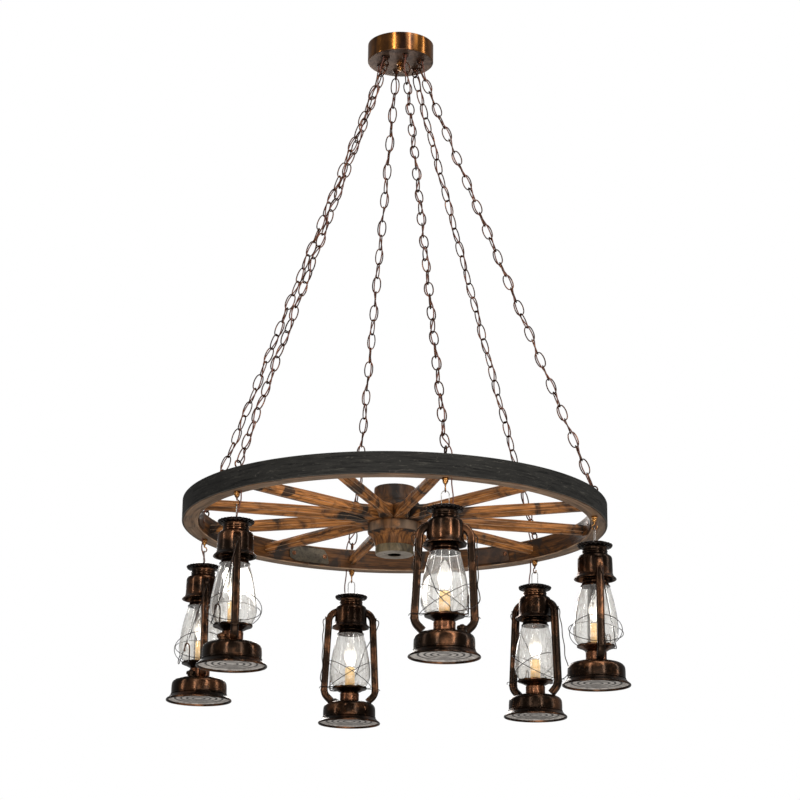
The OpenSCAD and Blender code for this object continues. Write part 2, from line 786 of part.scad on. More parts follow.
module burner_solid() {
    slots = 16;
    collar_r = socket_r + 1 + SEAT;
    color(BRONZE)
        difference() {
            rotate_extrude($fn = 48)
                polygon([
                    [burner_r - 1, tank_top + SEAT], [burner_r, tank_top + SEAT], [burner_r, burner_top - 3],
                    [burner_r - 3, burner_top], [collar_r, burner_top], [collar_r, burner_top - 1],
                    [burner_r - 4, burner_top - 1], [burner_r - 1, burner_top - 4]]);
            for (s = [0 : slots / 2 - 1])
                rotate([0, 0, s * 360 / slots])
                    translate([-burner_r - 1, -1.6, tank_top + 6])
                        cube([2 * burner_r + 2, 3.2, 9]);
        }
    color("#d9a548")
        difference() {
            translate([0, 0, burner_top + SEAT])
                cylinder(h = sleeve_top - burner_top - SEAT, r = sleeve_r);
            translate([0, 0, burner_top - 1])
                cylinder(h = sleeve_top - burner_top + 2, r = sleeve_r - 1.2);
        }
    color(STEEL)
        translate([0, 0, tank_top - 6])
            difference() {
                cylinder(h = sleeve_top - tank_top + 4, r = socket_r + 1);
                translate([0, 0, 6])
                    cylinder(h = sleeve_top - tank_top + 4, r = socket_r);
            }
}

module bulb_solid() {
    neck = sleeve_top - 16;
    wide = bulb_d / 2;
    color("#fff4d6")
        translate([0, 0, neck])
            rotate_extrude($fn = 36)
                polygon([
                    [0, 0], [4, 0], [socket_r - SEAT, 3], [socket_r - SEAT, 20], [8, 22], [12, 30],
                    [wide - 1.5, bulb_h - 50], [wide, bulb_h - 42], [wide - 0.5, bulb_h - 34],
                    [wide - 3.5, bulb_h - 24], [9, bulb_h - 14], [4.5, bulb_h - 6], [1.5, bulb_h - 1],
                    [0, bulb_h]]);
}

// Height and radius along the pear-shaped globe
function globe_radius(z) =
    let (t = (z - globe_z) / (globe_top - globe_z), low = 37, high = 35, wide = globe_d / 2, peak = 0.27)
    t < peak
        ? wide - (wide - low) * pow(1 - t / peak, 2.4)
        : wide - (wide - high) * pow((t - peak) / (1 - peak), 1.6);

module globe_solid() {
    steps = 22;
    heights = [for (i = [0 : steps]) globe_z + SEAT + (globe_top - globe_z - 2 * SEAT) * i / steps];
    color("#cfd6d4", 0.35)
        rotate_extrude($fn = 72)
            polygon(concat(
                [for (z = heights) [globe_radius(z), z]],
                [for (i = [steps : -1 : 0]) [globe_radius(heights[i]) - glass_t, heights[i]]]));
}

// Two wire hoops cross in front of and behind the globe, one just outside the other. Each
// stands on a guide wire at one side tube and is open at the other, where it clears the tube
module guard_hoop(r) {
    opening = asin((tube_w / 2 + 1.6) / r);
    rise = r * sin(guard_tilt) * cos(asin((tube_w / 2 + 4) / r));
    translate([0, 0, guide_z + guide_wire / 2 + guard_wire / 2 / cos(guard_tilt) + SEAT + rise])
        rotate([0, guard_tilt, 0])
            rotate([0, 0, 180 + opening])
                rotate_extrude(angle = 360 - 2 * opening, $fn = 72)
                    translate([r, 0])
                        circle(d = guard_wire, $fn = 24);
}

// Globe plate with its lift loop and guide wires, and the crown ring on the globe
module carrier_solid() {
    rim = plate_rim_r;
    color(BRONZE) {
        rotate_extrude($fn = 72)
            polygon([
                [sleeve_r + 3, plate_z], [26, plate_z], [36, plate_z + 4], [rim, plate_rim_z - 4],
                [rim, plate_rim_z], [rim - 1, plate_rim_z], [rim - 2, globe_z], [34, globe_z],
                [26, plate_z + 1], [sleeve_r + 3, plate_z + 1]]);
        translate([0, 0, globe_top])
            rotate_extrude($fn = 72)
                polygon([
                    [30, 0], [36.5, 0], [36.5, 2], [33, 5], [31, 16], [30, 16], [31, 5]]);
        for (side = [-1, 1])
            rotate([0, 0, side > 0 ? 0 : 180]) {
                wire_bar([rim - 3, tube_w / 2 + 4, guide_z], [tube_span / 2 + 14, tube_w / 2 + 4, guide_z], guide_wire);
                wire_bar([rim - 4, 0, guide_z], [rim - 3, tube_w / 2 + 4, guide_z], guide_wire);
            }
        guard_hoop(guard_r);
        rotate([0, 0, 180])
            guard_hoop(guard_r + guard_wire + 0.6);
        lift_loop();
    }
}

// Thumb loop beside the tube: a bent strip standing off the plate's edge
module lift_loop() {
    strip = 4;
    loop_h = 42;
    loop_w = 12;
    x = globe_d / 2 - 5;
    y = -34;
    base_z = plate_rim_z - 4;
    wire_bar([x - 22, y, base_z], [x + 1, y, base_z], strip);
    translate([x, y, base_z]) {
        cylinder(h = loop_h - loop_w / 2, d = strip, $fn = 24);
        translate([0, -loop_w / 2, loop_h - loop_w / 2])
            rotate([0, 0, 90])
                wire_arc(loop_w / 2, strip, 0, 180);
        translate([0, -loop_w, loop_h / 2])
            cylinder(h = loop_h / 2 - loop_w / 2, d = strip, $fn = 24);
    }
}

// The bail hangs from the tubes and leans on the front of the globe plate's rim
module bail_solid() {
    pin_x = bend_x - top_bend_r + top_bend_r * cos(tube_lean) + 1.5;
    leg_x = pin_x + tube_w / 2 + 5;
    bow = 26;
    color(BRONZE)
        translate([0, 0, bail_pivot_z])
            rotate([-bail_lean, 0, 0]) {
                for (side = [-1, 1]) {
                    translate([side * leg_x, 0, -bail_arm + bow])
                        cylinder(h = bail_arm - bow, d = bail_wire, $fn = 24);
                    translate([side * (leg_x - bow), 0, -bail_arm + bow])
                        wire_arc(bow, bail_wire, side > 0 ? 270 : 180, 90);
                    translate([side > 0 ? leg_x - tube_w / 2 - 2 : -leg_x - bail_wire / 2, 0, 0])
                        rotate([0, 90, 0])
                            cylinder(h = tube_w / 2 + 2 + bail_wire / 2, d = bail_wire, $fn = 24);
                }
                translate([-leg_x + bow, 0, -bail_arm])
                    rotate([0, 90, 0])
                        cylinder(h = 2 * (leg_x - bow), d = bail_wire, $fn = 24);
            }
}

canopy();
ceiling_bar();
canopy_loops();
canopy_finial();
chain_1();
chain_2();
chain_3();
chain_4();
chain_5();
chain_6();
lamp_cords();
drop_cords();
tyre();
felloes();
spokes();
hub();
joint_plates();
rim_hooks();
hang(0) frame_solid();  // lantern_1_frame
hang(0) hood_solid();  // lantern_1_hood
hang(0) burner_solid();  // lantern_1_burner
hang(0) bulb_solid();  // lantern_1_bulb
hang(0) globe_solid();  // lantern_1_globe
hang(0) carrier_solid();  // lantern_1_carrier
hang(0) bail_solid();  // lantern_1_bail
hang(1) frame_solid();  // lantern_2_frame
hang(1) hood_solid();  // lantern_2_hood
hang(1) burner_solid();  // lantern_2_burner
hang(1) bulb_solid();  // lantern_2_bulb
hang(1) globe_solid();  // lantern_2_globe
hang(1) carrier_solid();  // lantern_2_carrier
hang(1) bail_solid();  // lantern_2_bail
hang(2) frame_solid();  // lantern_3_frame
hang(2) hood_solid();  // lantern_3_hood
hang(2) burner_solid();  // lantern_3_burner
hang(2) bulb_solid();  // lantern_3_bulb
hang(2) globe_solid();  // lantern_3_globe
hang(2) carrier_solid();  // lantern_3_carrier
hang(2) bail_solid();  // lantern_3_bail
hang(3) frame_solid();  // lantern_4_frame
hang(3) hood_solid();  // lantern_4_hood
hang(3) burner_solid();  // lantern_4_burner
hang(3) bulb_solid();  // lantern_4_bulb
hang(3) globe_solid();  // lantern_4_globe
hang(3) carrier_solid();  // lantern_4_carrier
hang(3) bail_solid();  // lantern_4_bail
hang(4) frame_solid();  // lantern_5_frame
hang(4) hood_solid();  // lantern_5_hood
hang(4) burner_solid();  // lantern_5_burner
hang(4) bulb_solid();  // lantern_5_bulb
hang(4) globe_solid();  // lantern_5_globe
hang(4) carrier_solid();  // lantern_5_carrier
hang(4) bail_solid();  // lantern_5_bail
hang(5) frame_solid();  // lantern_6_frame
hang(5) hood_solid();  // lantern_6_hood
hang(5) burner_solid();  // lantern_6_burner
hang(5) bulb_solid();  // lantern_6_bulb
hang(5) globe_solid();  // lantern_6_globe
hang(5) carrier_solid();  // lantern_6_carrier
hang(5) bail_solid();  // lantern_6_bail
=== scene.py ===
"""Wagon wheel chandelier with six hurricane lanterns: detailed pieces, finishes and stage.

Lengths in the tables are millimetres; meshes are metres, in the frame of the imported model.
"""

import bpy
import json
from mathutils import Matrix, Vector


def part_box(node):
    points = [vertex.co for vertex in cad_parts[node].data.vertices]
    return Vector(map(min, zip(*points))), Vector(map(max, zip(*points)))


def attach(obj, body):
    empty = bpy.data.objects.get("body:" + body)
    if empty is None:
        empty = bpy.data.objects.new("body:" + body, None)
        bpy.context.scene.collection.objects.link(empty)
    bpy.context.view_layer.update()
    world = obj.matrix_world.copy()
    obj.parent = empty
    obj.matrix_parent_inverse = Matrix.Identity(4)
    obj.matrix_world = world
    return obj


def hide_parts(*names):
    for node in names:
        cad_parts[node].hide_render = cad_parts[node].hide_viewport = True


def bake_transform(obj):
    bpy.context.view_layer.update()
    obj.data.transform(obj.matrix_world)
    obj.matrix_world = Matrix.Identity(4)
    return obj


bl_info = {
    "name": "Wagon Wheel Chandelier",
    "version": (1, 0, 0),
    "blender": (4, 5, 0),
    "location": "View3D > Sidebar > Chandelier",
    "description": "Builds the chandelier's canopy, chains, wheel and lanterns over the packed model",
    "category": "Add Mesh",
}

import json
import random
from math import asin, atan2, cos, degrees, pi, radians, sin, sqrt, tan

import bmesh
import bpy
from bpy.props import FloatProperty, FloatVectorProperty, IntProperty, PointerProperty
from mathutils import Matrix, Vector

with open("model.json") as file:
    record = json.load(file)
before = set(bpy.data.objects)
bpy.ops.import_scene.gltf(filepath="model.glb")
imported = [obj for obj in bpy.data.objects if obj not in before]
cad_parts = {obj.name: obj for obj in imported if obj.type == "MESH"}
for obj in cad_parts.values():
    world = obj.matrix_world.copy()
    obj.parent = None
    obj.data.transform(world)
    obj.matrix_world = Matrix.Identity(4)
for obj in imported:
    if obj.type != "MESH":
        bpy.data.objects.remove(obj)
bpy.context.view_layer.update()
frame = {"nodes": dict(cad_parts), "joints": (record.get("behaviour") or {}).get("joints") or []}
MM = 0.001


def box_mm(node):
    """Lowest and highest corner of a CAD node, in millimetres."""
    low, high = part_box(node)
    return [v / MM for v in low], [v / MM for v in high]


# ------------------------------------------------------------------ places taken from the frame

CHAINS = 6
SPOKES = 12
RIM_LOW = box_mm("felloes")[0][2]
RIM_TOP = box_mm("felloes")[1][2]
WHEEL_R = box_mm("tyre")[1][0]
LANTERN_Z = box_mm("lantern_1_frame")[0][2]
SWINGS = [j for j in frame["joints"] if j["name"].endswith("_swing")]
HOOK_AT = [Vector(j["pos_m"]) / MM for j in SWINGS]
FACING = [degrees(atan2(j["axis"][1], j["axis"][0])) for j in SWINGS]
PIVOT_Z = HOOK_AT[0].z
HOOK_R = HOOK_AT[0].xy.length
AROUND = [-90 + 60 * k for k in range(CHAINS)]

# Sizes that several pieces share, in millimetres and degrees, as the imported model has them.
SEAT = 0.3  # gap between pieces that sit against each other
HUB_BORE = 17  # radius of the hole through the hub
FELLOE_SPAN = 60  # share of the circle that one felloe takes
BARE_PLATE = 3  # the one joint plate of bare iron; the others are brown
BORE_TURN = 1.7  # turn from a chain's foot to the bore that its cord takes through the rim
CORD_HOLE = 9.8  # from a canopy loop out to the hole of its cord
CAP_HOLE = 17  # from a lantern's axis to the cord's hole in its cap
HOOP_TILT = 31  # lean of the guard hoops

# Heights above a lantern's foot, and the places of its plate's rim and its filler.
BURNER_TOP, GLOBE_LOW, GLOBE_TOP = 85, 96, 243
PLATE_RIM, PLATE_RIM_Z, GUIDE_Z = 46.5, 99, 98.2
HOOD_Z, BAIL_Z, CAP_Z = 260, 283, 347
FILLER_X, FILLER_TURN = 46, -35


def turned_about_z(angle):
    """Matrix for a turn about +Z, in degrees."""
    return Matrix.Rotation(radians(angle), 4, "Z")


def lantern_place(k):
    """Matrix that hangs a lantern, drawn standing at the origin, on hook k."""
    at = Vector((HOOK_AT[k].x, HOOK_AT[k].y, LANTERN_Z)) * MM
    return Matrix.Translation(at) @ turned_about_z(FACING[k] + 90)


# ------------------------------------------------------------------ settings


def length(name, description, default):
    """A size in millimetres, kept in metres as Blender wants it."""
    return FloatProperty(name=name, description=description, default=default * MM, unit="LENGTH", min=0)


def colour(name, description, default):
    """A linear colour."""
    return FloatVectorProperty(name=name, description=description, default=default, size=3,
                               subtype="COLOR", min=0, max=1)


class CanopySettings(bpy.types.PropertyGroup):
    """Ceiling canopy, its loops and its finial."""

    diameter: length("Diameter", "Outside diameter of the drum", 2 * box_mm("canopy")[1][0])
    height: length("Height", "Height of the drum", -box_mm("canopy")[0][2])
    wall: length("Wall", "Thickness of the sheet", 1.2)
    loop_circle: length("Loop circle", "Radius of the circle of chain loops", 52)
    copper: colour("Copper", "Polished copper of the drum", (0.46, 0.175, 0.032))
    patina: colour("Patina", "Darkened copper", (0.085, 0.042, 0.026))


class ChainSettings(bpy.types.PropertyGroup):
    """Chains and the lamp cords woven through them."""

    links: IntProperty(name="Links", description="Links in each chain", default=33, min=3)
    link_length: length("Link length", "Outside length of a link", 44.7)
    link_width: length("Link width", "Outside width of a link", 24.5)
    wire: length("Wire", "Diameter of the link wire", 3)
    cord: length("Cord", "Diameter of the lamp cord", 3.2)
    bronze: colour("Bronze", "Dark bronze of the links", (0.060, 0.026, 0.015))
    cord_red: colour("Cord", "Red-brown insulation of the cords", (0.115, 0.036, 0.022))


class WheelSettings(bpy.types.PropertyGroup):
    """Tyre, felloes, spokes and hub."""

    tyre_thickness: length("Tyre thickness", "Radial thickness of the iron tyre", 3)
    rim_thickness: length("Rim thickness", "Radial thickness of the wooden rim", 37)
    spoke: length("Spoke", "Thickness of a spoke at its middle", 28)
    hub_core: length("Hub core", "Radius of the barrel that the spokes stand on", 56)
    hub_flange: length("Hub flange", "Radius of the hub flanges", 68)
    wood: colour("Wood", "Warm brown of the wood", (0.40, 0.155, 0.040))
    dark_wood: colour("Dark wood", "Darkest grain and stain", (0.016, 0.0105, 0.0075))
    pale_wood: colour("Pale wood", "Bare, worn wood", (0.36, 0.24, 0.155))
    iron: colour("Iron", "Weathered charcoal of the tyre", (0.0130, 0.0125, 0.0112))


class LanternSettings(bpy.types.PropertyGroup):
    """Hurricane lanterns."""

    globe: length("Globe", "Largest diameter of the glass globe", 110)
    tube: length("Tube", "Width of the side tubes", 19)
    foot: length("Foot", "Diameter of the foot", 166)
    tank: length("Tank", "Diameter of the tank", 140)
    bronze: colour("Bronze", "Antique bronze of the lanterns", (0.026, 0.0150, 0.0095))
    rubbed: colour("Rubbed copper", "Copper where the bronze is rubbed", (0.26, 0.115, 0.055))
    candle: colour("Candle", "Ivory and amber of the candle sleeve", (0.80, 0.46, 0.14))
    glow: FloatProperty(name="Glow", description="Strength of the bulbs' light", default=2.4, min=0)


class StageSettings(bpy.types.PropertyGroup):
    """Camera, lamps, floor and backdrop."""

    azimuth: FloatProperty(name="Azimuth", description="Side that the camera stands on",
                           default=radians(346.86), subtype="ANGLE")
    tilt: FloatProperty(name="Tilt", description="Angle that the camera looks up by",
                        default=radians(16.818), subtype="ANGLE")
    roll: FloatProperty(name="Roll", description="Turn of the camera about its view",
                        default=radians(0.694), subtype="ANGLE")
    distance: FloatProperty(name="Distance", description="From the camera to its target",
                            default=5.808, unit="LENGTH")
    focal: FloatProperty(name="Focal length", description="Focal length, in millimetres", default=102.16)
    floor_z: FloatProperty(name="Floor", description="Height of the floor", default=-3.1, unit="LENGTH")


SETTINGS = (CanopySettings, ChainSettings, WheelSettings, LanternSettings, StageSettings)


def settings(kind):
    """The scene's settings of one kind."""
    return getattr(bpy.context.scene, "chandelier_" + kind)


# ------------------------------------------------------------------ finishes


class Finish:
    """A node material for one finish, written as a chain of short calls."""

    def __init__(self, name):
        self.material = bpy.data.materials.new(name)
        self.material.use_nodes = True
        self.tree = self.material.node_tree
        self.shader = self.tree.nodes["Principled BSDF"]

    def node(self, kind, sockets=None, **attributes):
        """Adds a node; a socket's value may be a number or another node's output."""
        made = self.tree.nodes.new("ShaderNode" + kind)
        for key, value in attributes.items():
            setattr(made, key, value)
        for key, value in (sockets or {}).items():
            if isinstance(value, bpy.types.NodeSocket):
                self.tree.links.new(value, made.inputs[key])
            else:
                made.inputs[key].default_value = value
        return made

    def where(self, scale=(1, 1, 1), attribute=None, shift=(0, 0, 0)):
        """Object coordinates, or a point attribute of the piece, scaled."""
        if attribute:
            source = self.node("Attribute", attribute_name=attribute).outputs["Vector"]
        else:
            source = self.node("TexCoord").outputs["Object"]
        return self.node("Mapping", {"Vector": source, "Scale": scale, "Location": shift}).outputs[0]

    def noise(self, at, scale, detail=4.0, rough=0.55, distortion=0.0):
        """Noise from 0 to 1."""
        return self.node("TexNoise", {"Vector": at, "Scale": scale, "Detail": detail, "Roughness": rough,
                                      "Distortion": distortion}).outputs["Fac"]

    def ramp(self, factor, *stops):
        """A grey level for each (place, level)."""
        made = self.node("ValToRGB", {"Fac": factor})
        band = made.color_ramp
        while len(band.elements) < len(stops):
            band.elements.new(0.5)
        for element, (place, level) in zip(band.elements, stops):
            element.position = place
            element.color = (level, level, level, 1) if isinstance(level, (int, float)) else (*level, 1)
        return made.outputs["Color"]

    def maths(self, kind, a, b, clamp=False):
        """One sum of two values."""
        return self.node("Math", {0: a, 1: b}, operation=kind, use_clamp=clamp).outputs[0]

    def blend(self, factor, a, b):
        """Colour a where the factor is 0, colour b where it is 1."""
        made = self.node("Mix", data_type="RGBA")
        for index, value in ((0, factor), (6, a), (7, b)):
            if isinstance(value, bpy.types.NodeSocket):
                self.tree.links.new(value, made.inputs[index])
            else:
                made.inputs[index].default_value = (*value, 1) if isinstance(value, tuple) else value
        return made.outputs[2]

    def facing_down(self, start=-0.55, end=-0.9):
        """1 on faces that look down, 0 elsewhere."""
        normal = self.node("TexCoord").outputs["Normal"]
        z = self.node("SeparateXYZ", {0: normal}).outputs["Z"]
        return self.node("MapRange", {"Value": z, "From Min": start, "From Max": end}).outputs[0]

    def bump(self, height, strength, distance):
        """Joins a height to the shader as bump; the distance is in metres."""
        made = self.node("Bump", {"Height": height, "Strength": strength, "Distance": distance})
        self.tree.links.new(made.outputs["Normal"], self.shader.inputs["Normal"])

    def set(self, **sockets):
        """Sets or links the shader's sockets; words are joined by underscores."""
        for key, value in sockets.items():
            socket = self.shader.inputs[key.replace("_", " ")]
            if isinstance(value, bpy.types.NodeSocket):
                self.tree.links.new(value, socket)
            else:
                colour = isinstance(value, tuple) and len(value) == 3
                socket.default_value = (*value, 1) if colour else value
        return self


def tone(colour, share):
    """A darker or lighter tone of a colour."""
    return tuple(share * c for c in colour)


def metal_finish(name, base, rubbed, low, high, rough=(0.22, 0.42), scale=26.0, metallic=0.92, dents=0.10):
    """Patinated metal: dark base, rubbed patches, cloudy roughness and faint dents."""
    made = Finish(name)
    at = made.where()
    clouds = made.noise(at, scale, 6, 0.62, 0.4)
    fine = made.noise(at, scale * 14, 3, 0.6)
    mixed = made.blend(made.ramp(clouds, (low, 0), (high, 1)), base, rubbed)
    mixed = made.blend(made.ramp(fine, (0.30, 0.45), (0.62, 0)), mixed, tone(base, 0.35))
    made.set(Base_Color=mixed, Metallic=metallic,
             Roughness=made.ramp(made.noise(at, scale * 2.3, 4), (0.3, rough[0]), (0.7, rough[1])))
    made.bump(made.blend(0.25, made.noise(at, scale * 1.6, 3), fine), dents, 0.002)
    return made.material


def canopy_finish():
    """Polished copper, darker and duller below; its tall vertical bands of copper between patina are painted
    reflections.
    """
    pick = settings("canopy")
    copper, patina = tuple(pick.copper), tuple(pick.patina)
    made = Finish("antique_copper")
    at = made.where((1, 1, 0.12))
    # tall vertical bands of bright copper between patina: painted reflections
    reflection_bands = made.noise(at, 30, 3, 0.5)
    clouds = made.noise(made.where(), 22, 6, 0.65, 0.6)
    side = made.blend(made.ramp(reflection_bands, (0.35, 0), (0.62, 1)), patina, copper)
    side = made.blend(made.ramp(clouds, (0.30, 0.6), (0.58, 0)), side, tone(patina, 0.5))
    under = made.blend(made.ramp(clouds, (0.36, 0), (0.66, 1)), (0.085, 0.050, 0.034), (0.26, 0.165, 0.115))
    down = made.facing_down()
    made.set(Base_Color=made.blend(down, side, under), Metallic=0.95,
             Roughness=made.blend(down, made.ramp(clouds, (0.3, 0.13), (0.7, 0.24)),
                                  made.ramp(clouds, (0.3, 0.34), (0.7, 0.52))))
    made.bump(made.blend(0.4, reflection_bands, clouds), 0.10, 0.002)
    return made.material


def wood_finish(name, warmth=1.0, stain=1.0, along=None):
    """Oiled, weathered wood; its grain follows the piece's own grain attribute, or is drawn out by along."""
    pick = settings("wheel")
    wood = tuple(min(1, c * warmth) for c in pick.wood)
    dark, pale = tuple(pick.dark_wood), tuple(pick.pale_wood)
    made = Finish(name)
    attribute = None if along else "grain"
    if along:
        grain = made.noise(made.where(along), 150, 5, 0.62, 0.5)
        figure = made.noise(made.where(along), 38, 4, 0.6, 1.2)
        spots = made.where((0.3, 1, along[2]))
    else:
        grain = made.noise(made.where((0.045, 1, 1), attribute), 300, 5, 0.62, 0.6)
        figure = made.noise(made.where((0.10, 1, 1), attribute), 62, 4, 0.6, 1.6)
        spots = made.where((0.3, 1, 1), attribute)
    patches = made.noise(made.where((1, 1, 1), attribute, (3.1, 1.7, 0.4)), 11, 5, 0.6, 0.9)
    ground = made.blend(made.ramp(figure, (0.34, 0), (0.62, 1)), tone(wood, 0.22), tone(wood, 1.45))
    ground = made.blend(made.ramp(grain, (0.36, 0.9), (0.52, 0)), ground, tone(wood, 0.2))
    # soot darkening: painted shade at the ends of the spokes, darker joints in the felloes, a darker upper
    # barrel on the hub
    soot_and_shade = made.node("Attribute", attribute_name="soot_and_shade").outputs["Fac"]
    darkness = made.maths("ADD", made.ramp(patches, (0.50, 0), (0.60, 0.92 * stain)),
                          made.maths("MULTIPLY", soot_and_shade, made.ramp(patches, (0.25, 0.35), (0.55, 0.95))), True)
    ground = made.blend(darkness, ground, dark)
    # paler wood on faces that look down, where a piece marks them
    bare = made.maths("MULTIPLY", made.facing_down(-0.80, -0.97),
                      made.node("Attribute", attribute_name="bare").outputs["Fac"])
    pale_share = made.maths("MULTIPLY", bare, made.ramp(figure, (0.30, 0.12), (0.64, 0.72)))
    ground = made.blend(pale_share, ground, pale)
    # pale arrises: worn wood, and partly a painted highlight along the edges
    wear_and_highlight = made.node("Attribute", attribute_name="wear_and_highlight").outputs["Fac"]
    worn_and_lit = made.maths("MULTIPLY", wear_and_highlight, made.ramp(made.noise(spots, 60, 3), (0.35, 0.15), (0.6, 0.95)))
    ground = made.blend(worn_and_lit, ground, tone(pale, 1.6))
    made.set(Base_Color=ground, Specular_IOR_Level=0.22,
             Roughness=made.ramp(grain, (0.35, 0.60), (0.62, 0.38)))
    made.bump(made.blend(0.35, grain, figure), 0.30, 0.0014)
    return made.material


def iron_finish():
    """Charcoal iron with fine streaks round the wheel, scuffs and pale specks."""
    iron = tuple(settings("wheel").iron)
    made = Finish("weathered_iron")
    streaks = made.noise(made.where((0.07, 0.07, 1)), 170, 5, 0.7, 0.3)
    scuffs = made.noise(made.where((0.12, 0.12, 1), None, (5, 2, 1)), 210, 6, 0.75, 1.0)
    specks = made.noise(made.where((0.6, 0.6, 1)), 95, 4, 0.7)
    clouds = made.noise(made.where((0.6, 0.6, 1)), 9, 4, 0.6, 0.6)
    ground = made.blend(made.ramp(clouds, (0.35, 0), (0.68, 1)), iron, tone(iron, 1.6))
    ground = made.blend(made.ramp(streaks, (0.36, 0.95), (0.50, 0)), ground, (0.003, 0.003, 0.003))
    ground = made.blend(made.ramp(scuffs, (0.56, 0), (0.66, 0.55)), ground, (0.085, 0.080, 0.068))
    ground = made.blend(made.ramp(specks, (0.64, 0), (0.72, 0.6)), ground, (0.12, 0.11, 0.095))
    wear_and_highlight = made.node("Attribute", attribute_name="wear_and_highlight").outputs["Fac"]
    ground = made.blend(made.maths("MULTIPLY", wear_and_highlight, 0.45), ground, (0.22, 0.20, 0.17))
    made.set(Base_Color=ground, Metallic=0.15, Specular_IOR_Level=0.18,
             Roughness=made.ramp(streaks, (0.3, 0.72), (0.7, 0.50)))
    made.bump(made.blend(0.5, streaks, scuffs), 0.55, 0.0018)
    return made.material


def cord_finish():
    """Matt red-brown insulation with a faint braid."""
    red = tuple(settings("chain").cord_red)
    made = Finish("lamp_cord")
    braid = made.node("TexWave", {"Vector": made.where((1, 1, 1)), "Scale": 260.0, "Distortion": 0.6},
                      bands_direction="DIAGONAL").outputs["Fac"]
    clouds = made.noise(made.where(), 30, 3)
    ground = made.blend(made.ramp(clouds, (0.3, 0), (0.7, 1)), red, tone(red, 1.7))
    made.set(Base_Color=made.blend(made.maths("MULTIPLY", braid, 0.35), ground, tone(red, 0.4)),
             Roughness=made.ramp(clouds, (0.3, 0.62), (0.7, 0.48)))
    made.bump(braid, 0.15, 0.0005)
    return made.material


def glass_finish():
    """Blown glass with waves and whitish streaks that are painted reflections."""
    made = Finish("globe_glass")
    streaks = made.noise(made.where((1, 1, 0.30)), 55, 5, 0.68, 1.4)
    # whitish, less clear streaks: painted reflections in the glass
    reflection_streaked = made.blend(made.ramp(streaks, (0.40, 0), (0.75, 1)), (0.93, 0.925, 0.91), (0.80, 0.78, 0.75))
    made.set(Base_Color=reflection_streaked,
             Transmission_Weight=made.ramp(streaks, (0.42, 0.97), (0.70, 0.74)), IOR=1.46,
             Roughness=made.ramp(streaks, (0.45, 0.0), (0.80, 0.03)))
    made.bump(made.noise(made.where((1, 1, 0.35)), 24, 2, 0.4), 0.10, 0.004)
    return made.material


def bulb_finish():
    """Lit bulb: a light that fades inside the glass, brightest at its middle, clear at its tip."""
    made = Finish("bulb_glass")
    z = made.node("SeparateXYZ", {0: made.where()}).outputs["Z"]
    low = (LANTERN_Z + 140) * MM
    level = made.node("MapRange", {"Value": z, "From Min": low, "From Max": low + 86 * MM}).outputs[0]
    heat = made.ramp(level, (0.0, 0.15), (0.16, 0.55), (0.42, 1.0), (0.58, 0.45), (0.72, 0.10), (0.9, 0.0))
    flicker = made.ramp(made.noise(made.where(), 60, 2), (0.3, 0.85), (0.7, 1.0))
    strength = made.maths("MULTIPLY", made.maths("MULTIPLY", heat, flicker), settings("lantern").glow)
    made.set(Base_Color=(0.96, 0.95, 0.93), Transmission_Weight=1.0, IOR=1.08,
             Roughness=made.ramp(flicker, (0.8, 0.0), (1.0, 0.06)),
             Emission_Color=made.blend(heat, (1.0, 0.80, 0.52), (1.0, 0.965, 0.88)),
             Emission_Strength=made.maths("MULTIPLY", strength, 0.04))
    light = made.node("Emission", {
        "Color": (1.0, 0.94, 0.84, 1), "Strength": made.maths("MULTIPLY", strength, 40.0)})
    made.tree.links.new(light.outputs[0], made.tree.nodes["Material Output"].inputs["Volume"])
    made.bump(made.noise(made.where(), 90, 2), 0.05, 0.001)
    return made.material


def candle_finish():
    """Ivory sleeve with a painted amber glow that stands in for the light of the bulb above it."""
    base = tuple(settings("lantern").candle)
    made = Finish("candle_sleeve")
    z = made.node("SeparateXYZ", {0: made.where()}).outputs["Z"]
    low = (LANTERN_Z + 85) * MM
    level = made.node("MapRange", {"Value": z, "From Min": low, "From Max": low + 68 * MM}).outputs[0]
    drips = made.noise(made.where((1, 1, 0.25)), 90, 4, 0.6, 0.5)
    ground = made.blend(made.ramp(drips, (0.35, 0), (0.65, 1)), tone(base, 0.72), base)
    # the emission is a painted glow from the bulb's light, brighter towards the top
    made.set(Base_Color=ground, Roughness=made.ramp(drips, (0.3, 0.32), (0.7, 0.5)),
             Emission_Color=made.blend(level, (0.80, 0.42, 0.12), (1.0, 0.74, 0.36)),
             Emission_Strength=made.ramp(level, (0.0, 0.30), (0.55, 0.62), (1.0, 0.95)))
    made.bump(drips, 0.18, 0.001)
    return made.material


def plate_finish():
    """Pale grey galvanised plate under a lantern, with painted shade on its embossed rings."""
    made = Finish("underside_plate")
    spangle = made.noise(made.where(), 60, 6, 0.7)
    # the soot marks pick out the embossed rings, which are painted near-black as shade
    painted_ring_shade = made.node("Attribute", attribute_name="soot_and_shade").outputs["Fac"]
    ground = made.blend(made.ramp(spangle, (0.35, 0), (0.66, 1)), (0.26, 0.235, 0.22), (0.66, 0.62, 0.585))
    ground = made.blend(made.maths("MULTIPLY", painted_ring_shade, 0.97), ground, (0.012, 0.010, 0.009))
    made.set(Base_Color=ground,
             Metallic=0.25, Roughness=made.ramp(spangle, (0.3, 0.42), (0.7, 0.58)))
    made.bump(spangle, 0.12, 0.0006)
    return made.material


def band_finish():
    """Olive brass of the hub's lower band and end, stained and rubbed."""
    made = Finish("hub_brass")
    at = made.where((1, 1, 0.6))
    clouds = made.noise(at, 34, 6, 0.66, 0.8)
    ground = made.blend(made.ramp(clouds, (0.34, 0), (0.62, 1)), (0.040, 0.030, 0.016), (0.20, 0.150, 0.078))
    under = made.blend(made.ramp(clouds, (0.34, 0), (0.62, 1)), (0.17, 0.135, 0.105), (0.38, 0.33, 0.28))
    made.set(Base_Color=made.blend(made.facing_down(), ground, under), Metallic=0.35,
             Roughness=made.ramp(clouds, (0.3, 0.50), (0.7, 0.34)))
    made.bump(clouds, 0.2, 0.0015)
    return made.material


